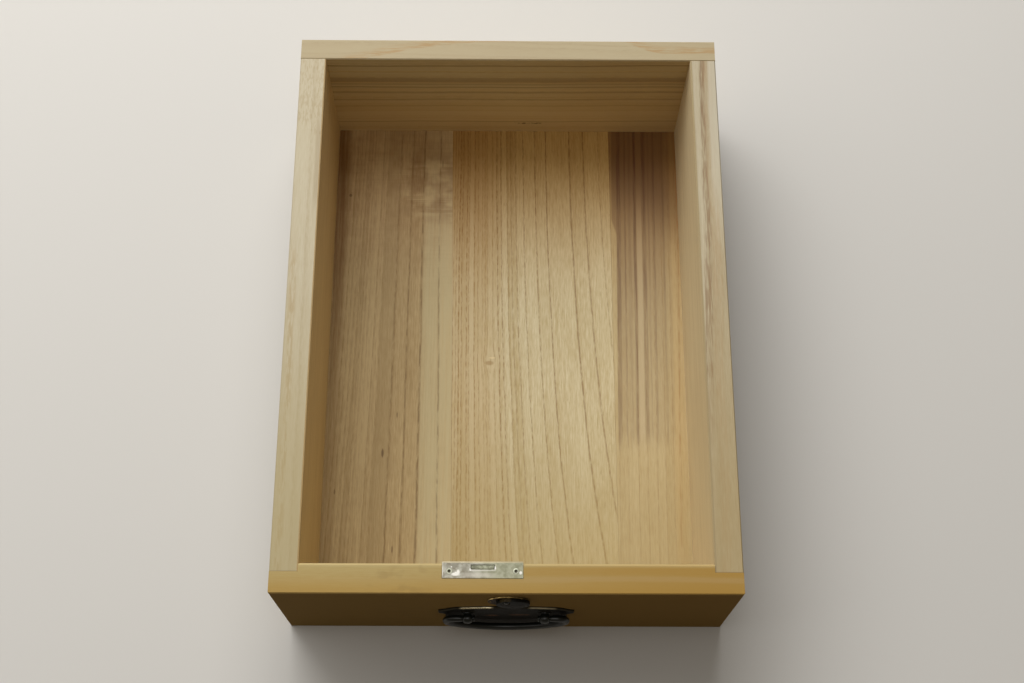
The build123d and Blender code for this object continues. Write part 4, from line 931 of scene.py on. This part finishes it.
def post_shape(node, middle):
    """Post with a round eye over a waisted neck and a collar; its legs are those of the solid."""
    bm = copy_solid(node, 0.2)
    bmesh.ops.bisect_plane(bm, geom=bm.verts[:] + bm.edges[:] + bm.faces[:], plane_co=(0, PLATE_Y * MM, 0),
                           plane_no=(0, -1, 0), clear_outer=True)
    rim = [(EYE_HALF_WIDTH * sin(a), 2.35 + 1.44 * cos(a))
           for a in [radians(-90 + 18 * i) for i in range(11)]]
    bore = EYE_HALF_WIDTH - 0.1
    turned_ring(bm, [(-bore, EYE_BORE)] + rim + [(bore, EYE_BORE)], (middle, BAIL_Y, BAIL_Z), (1, 0, 0))
    turned_ring(bm, NECK_PROFILE, (middle, PLATE_Y - 0.2, BAIL_Z), (0, -1, 0))
    return bm


def finish_fittings():
    dark, brass, works = dark_patina(), old_brass(), works_metal()
    place_piece("bail_bar", bail_shape(), dark, "bail", "dark_fittings", "bail_handle")
    for side, middle in (("left", -POST_X), ("right", POST_X)):
        node = "handle_post_" + side
        place_piece("post_" + side, post_shape(node, middle), dark, "drawer", "dark_fittings", node)
    for name, node, bevel, material, body, slot in (
            ("pull_plate", "handle_plate", 0.2, pull_plate_metal(), "drawer", "dark_fittings"),
            ("round_keyhole_plate", "keyhole_escutcheon", 0.15, keyhole_plate_metal(), "drawer",
             "brass_fittings"),
            ("swinging_cover", "keyhole_cover", 0.15, cover_metal(), "cover", "dark_fittings"),
            ("plate_nails", "escutcheon_nails", 0.08, brass, "drawer", "brass_fittings"),
            ("pivot_rivet", "cover_rivet", 0.2, dark, "drawer", "brass_fittings"),
            ("lock_sheet", "lock_plate", 0.12, lock_sheet_metal(), "drawer", "lock_metal"),
            ("bolt", "lock_bolt", 0.1, bolt_metal(), "bolt", "lock_metal"),
            ("selvedge_screws", "lock_top_screws", 0.06, screw_metal(), "drawer", "lock_metal"),
            ("back_screws", "lock_back_screws", 0.06, works, "drawer", "lock_metal")):
        place_piece(name, copy_solid(node, bevel), material, body, slot, node)
    for material, nodes in (
            (dark, ("post_washers",)), (works, ("lock_cap", "cap_rivets", "bolt_guide_pin", "key_pin")),
            (brass, ("bolt_spring", "key_ward"))):
        for node in nodes:
            put_material(node, material)


# ------------------------ studio
FLOOR_HALF = 4.0
FLOOR_DROP = 0.0004            # keeps the floor clear of the drawer's underside
LAMP_DISTANCE = 2.4
CAMERA_PLACE = (-0.0040, -0.4296, 1.1311)
CAMERA_TURN = (21.309, -0.4587, 0.0929)        # degrees about X, Y and Z
CAMERA_LENS = 51.70


def set_studio():
    """Plain pale floor, a large soft lamp from behind on the left, three weak ones and an even sky."""
    bm = bmesh.new()
    bmesh.ops.create_grid(bm, x_segments=1, y_segments=1, size=FLOOR_HALF)
    bmesh.ops.translate(bm, vec=(0, 0, -FLOOR_DROP), verts=bm.verts)
    mesh = bpy.data.meshes.new("studio_floor")
    bm.to_mesh(mesh)
    bm.free()
    floor = bpy.data.objects.new("studio_floor", mesh)
    bpy.context.scene.collection.objects.link(floor)
    w = new_material("studio_floor")
    w.shader.inputs["Roughness"].default_value = 0.9
    ray = w.node("ShaderNodeLightPath").outputs
    seen = w.most(ray["Is Camera Ray"], w.most(ray["Is Glossy Ray"], ray["Is Transmission Ray"]))
    w.feed(w.shader.inputs["Base Color"], w.mix(seen, rgb(84, 72, 58), rgb(214, 212, 208)))
    mesh.materials.append(w.material)

    world = bpy.data.worlds.new("studio_sky")
    bpy.context.scene.world = world
    world.use_nodes = True
    sky = world.node_tree.nodes["Background"]
    sky.inputs["Color"].default_value = (1.0, 0.84, 0.62, 1.0)
    sky.inputs["Strength"].default_value = 0.12

    for name, heading, height, half_angle, strength in (
            ("key_lamp", -15, 48, 26, 8.75), ("low_lamp", -8, 20, 15, 1.5),
            ("left_lamp", -70, 45, 30, 3.0), ("ceiling_lamp", 180, 80, 11, 0.75)):
        add_lamp(name, heading, height, half_angle, strength)


def add_lamp(name, heading, height, half_angle, strength):
    """A round soft lamp that faces the drawer; heading in degrees from the back, to the right."""
    flat = cos(radians(height))
    place = LAMP_DISTANCE * Vector((sin(radians(heading)) * flat, cos(radians(heading)) * flat,
                                    sin(radians(height))))
    lamp = bpy.data.lights.new(name, "AREA")
    lamp.shape = "DISK"
    lamp.size = 2 * LAMP_DISTANCE * tan(radians(half_angle))
    lamp.energy = strength * LAMP_DISTANCE ** 2
    lamp.color = (1.0, 0.99, 0.97)
    obj = bpy.data.objects.new(name, lamp)
    obj.location = place
    obj.rotation_euler = (-place).to_track_quat("-Z", "Y").to_euler()
    bpy.context.scene.collection.objects.link(obj)


def set_camera():
    """The camera stands over the front edge and looks down into the drawer."""
    camera = bpy.data.cameras.new("camera")
    camera.sensor_width = 36.0
    camera.lens = CAMERA_LENS
    obj = bpy.data.objects.new("camera", camera)
    obj.location = CAMERA_PLACE
    obj.rotation_euler = [radians(angle) for angle in CAMERA_TURN]
    bpy.context.scene.collection.objects.link(obj)
    bpy.context.scene.camera = obj


make_kiri_grain()
make_soft_stripe()
make_metal_wear()
finish_boards()
finish_fittings()
set_studio()
set_camera()
bpy.context.scene.view_settings.view_transform = "Standard"
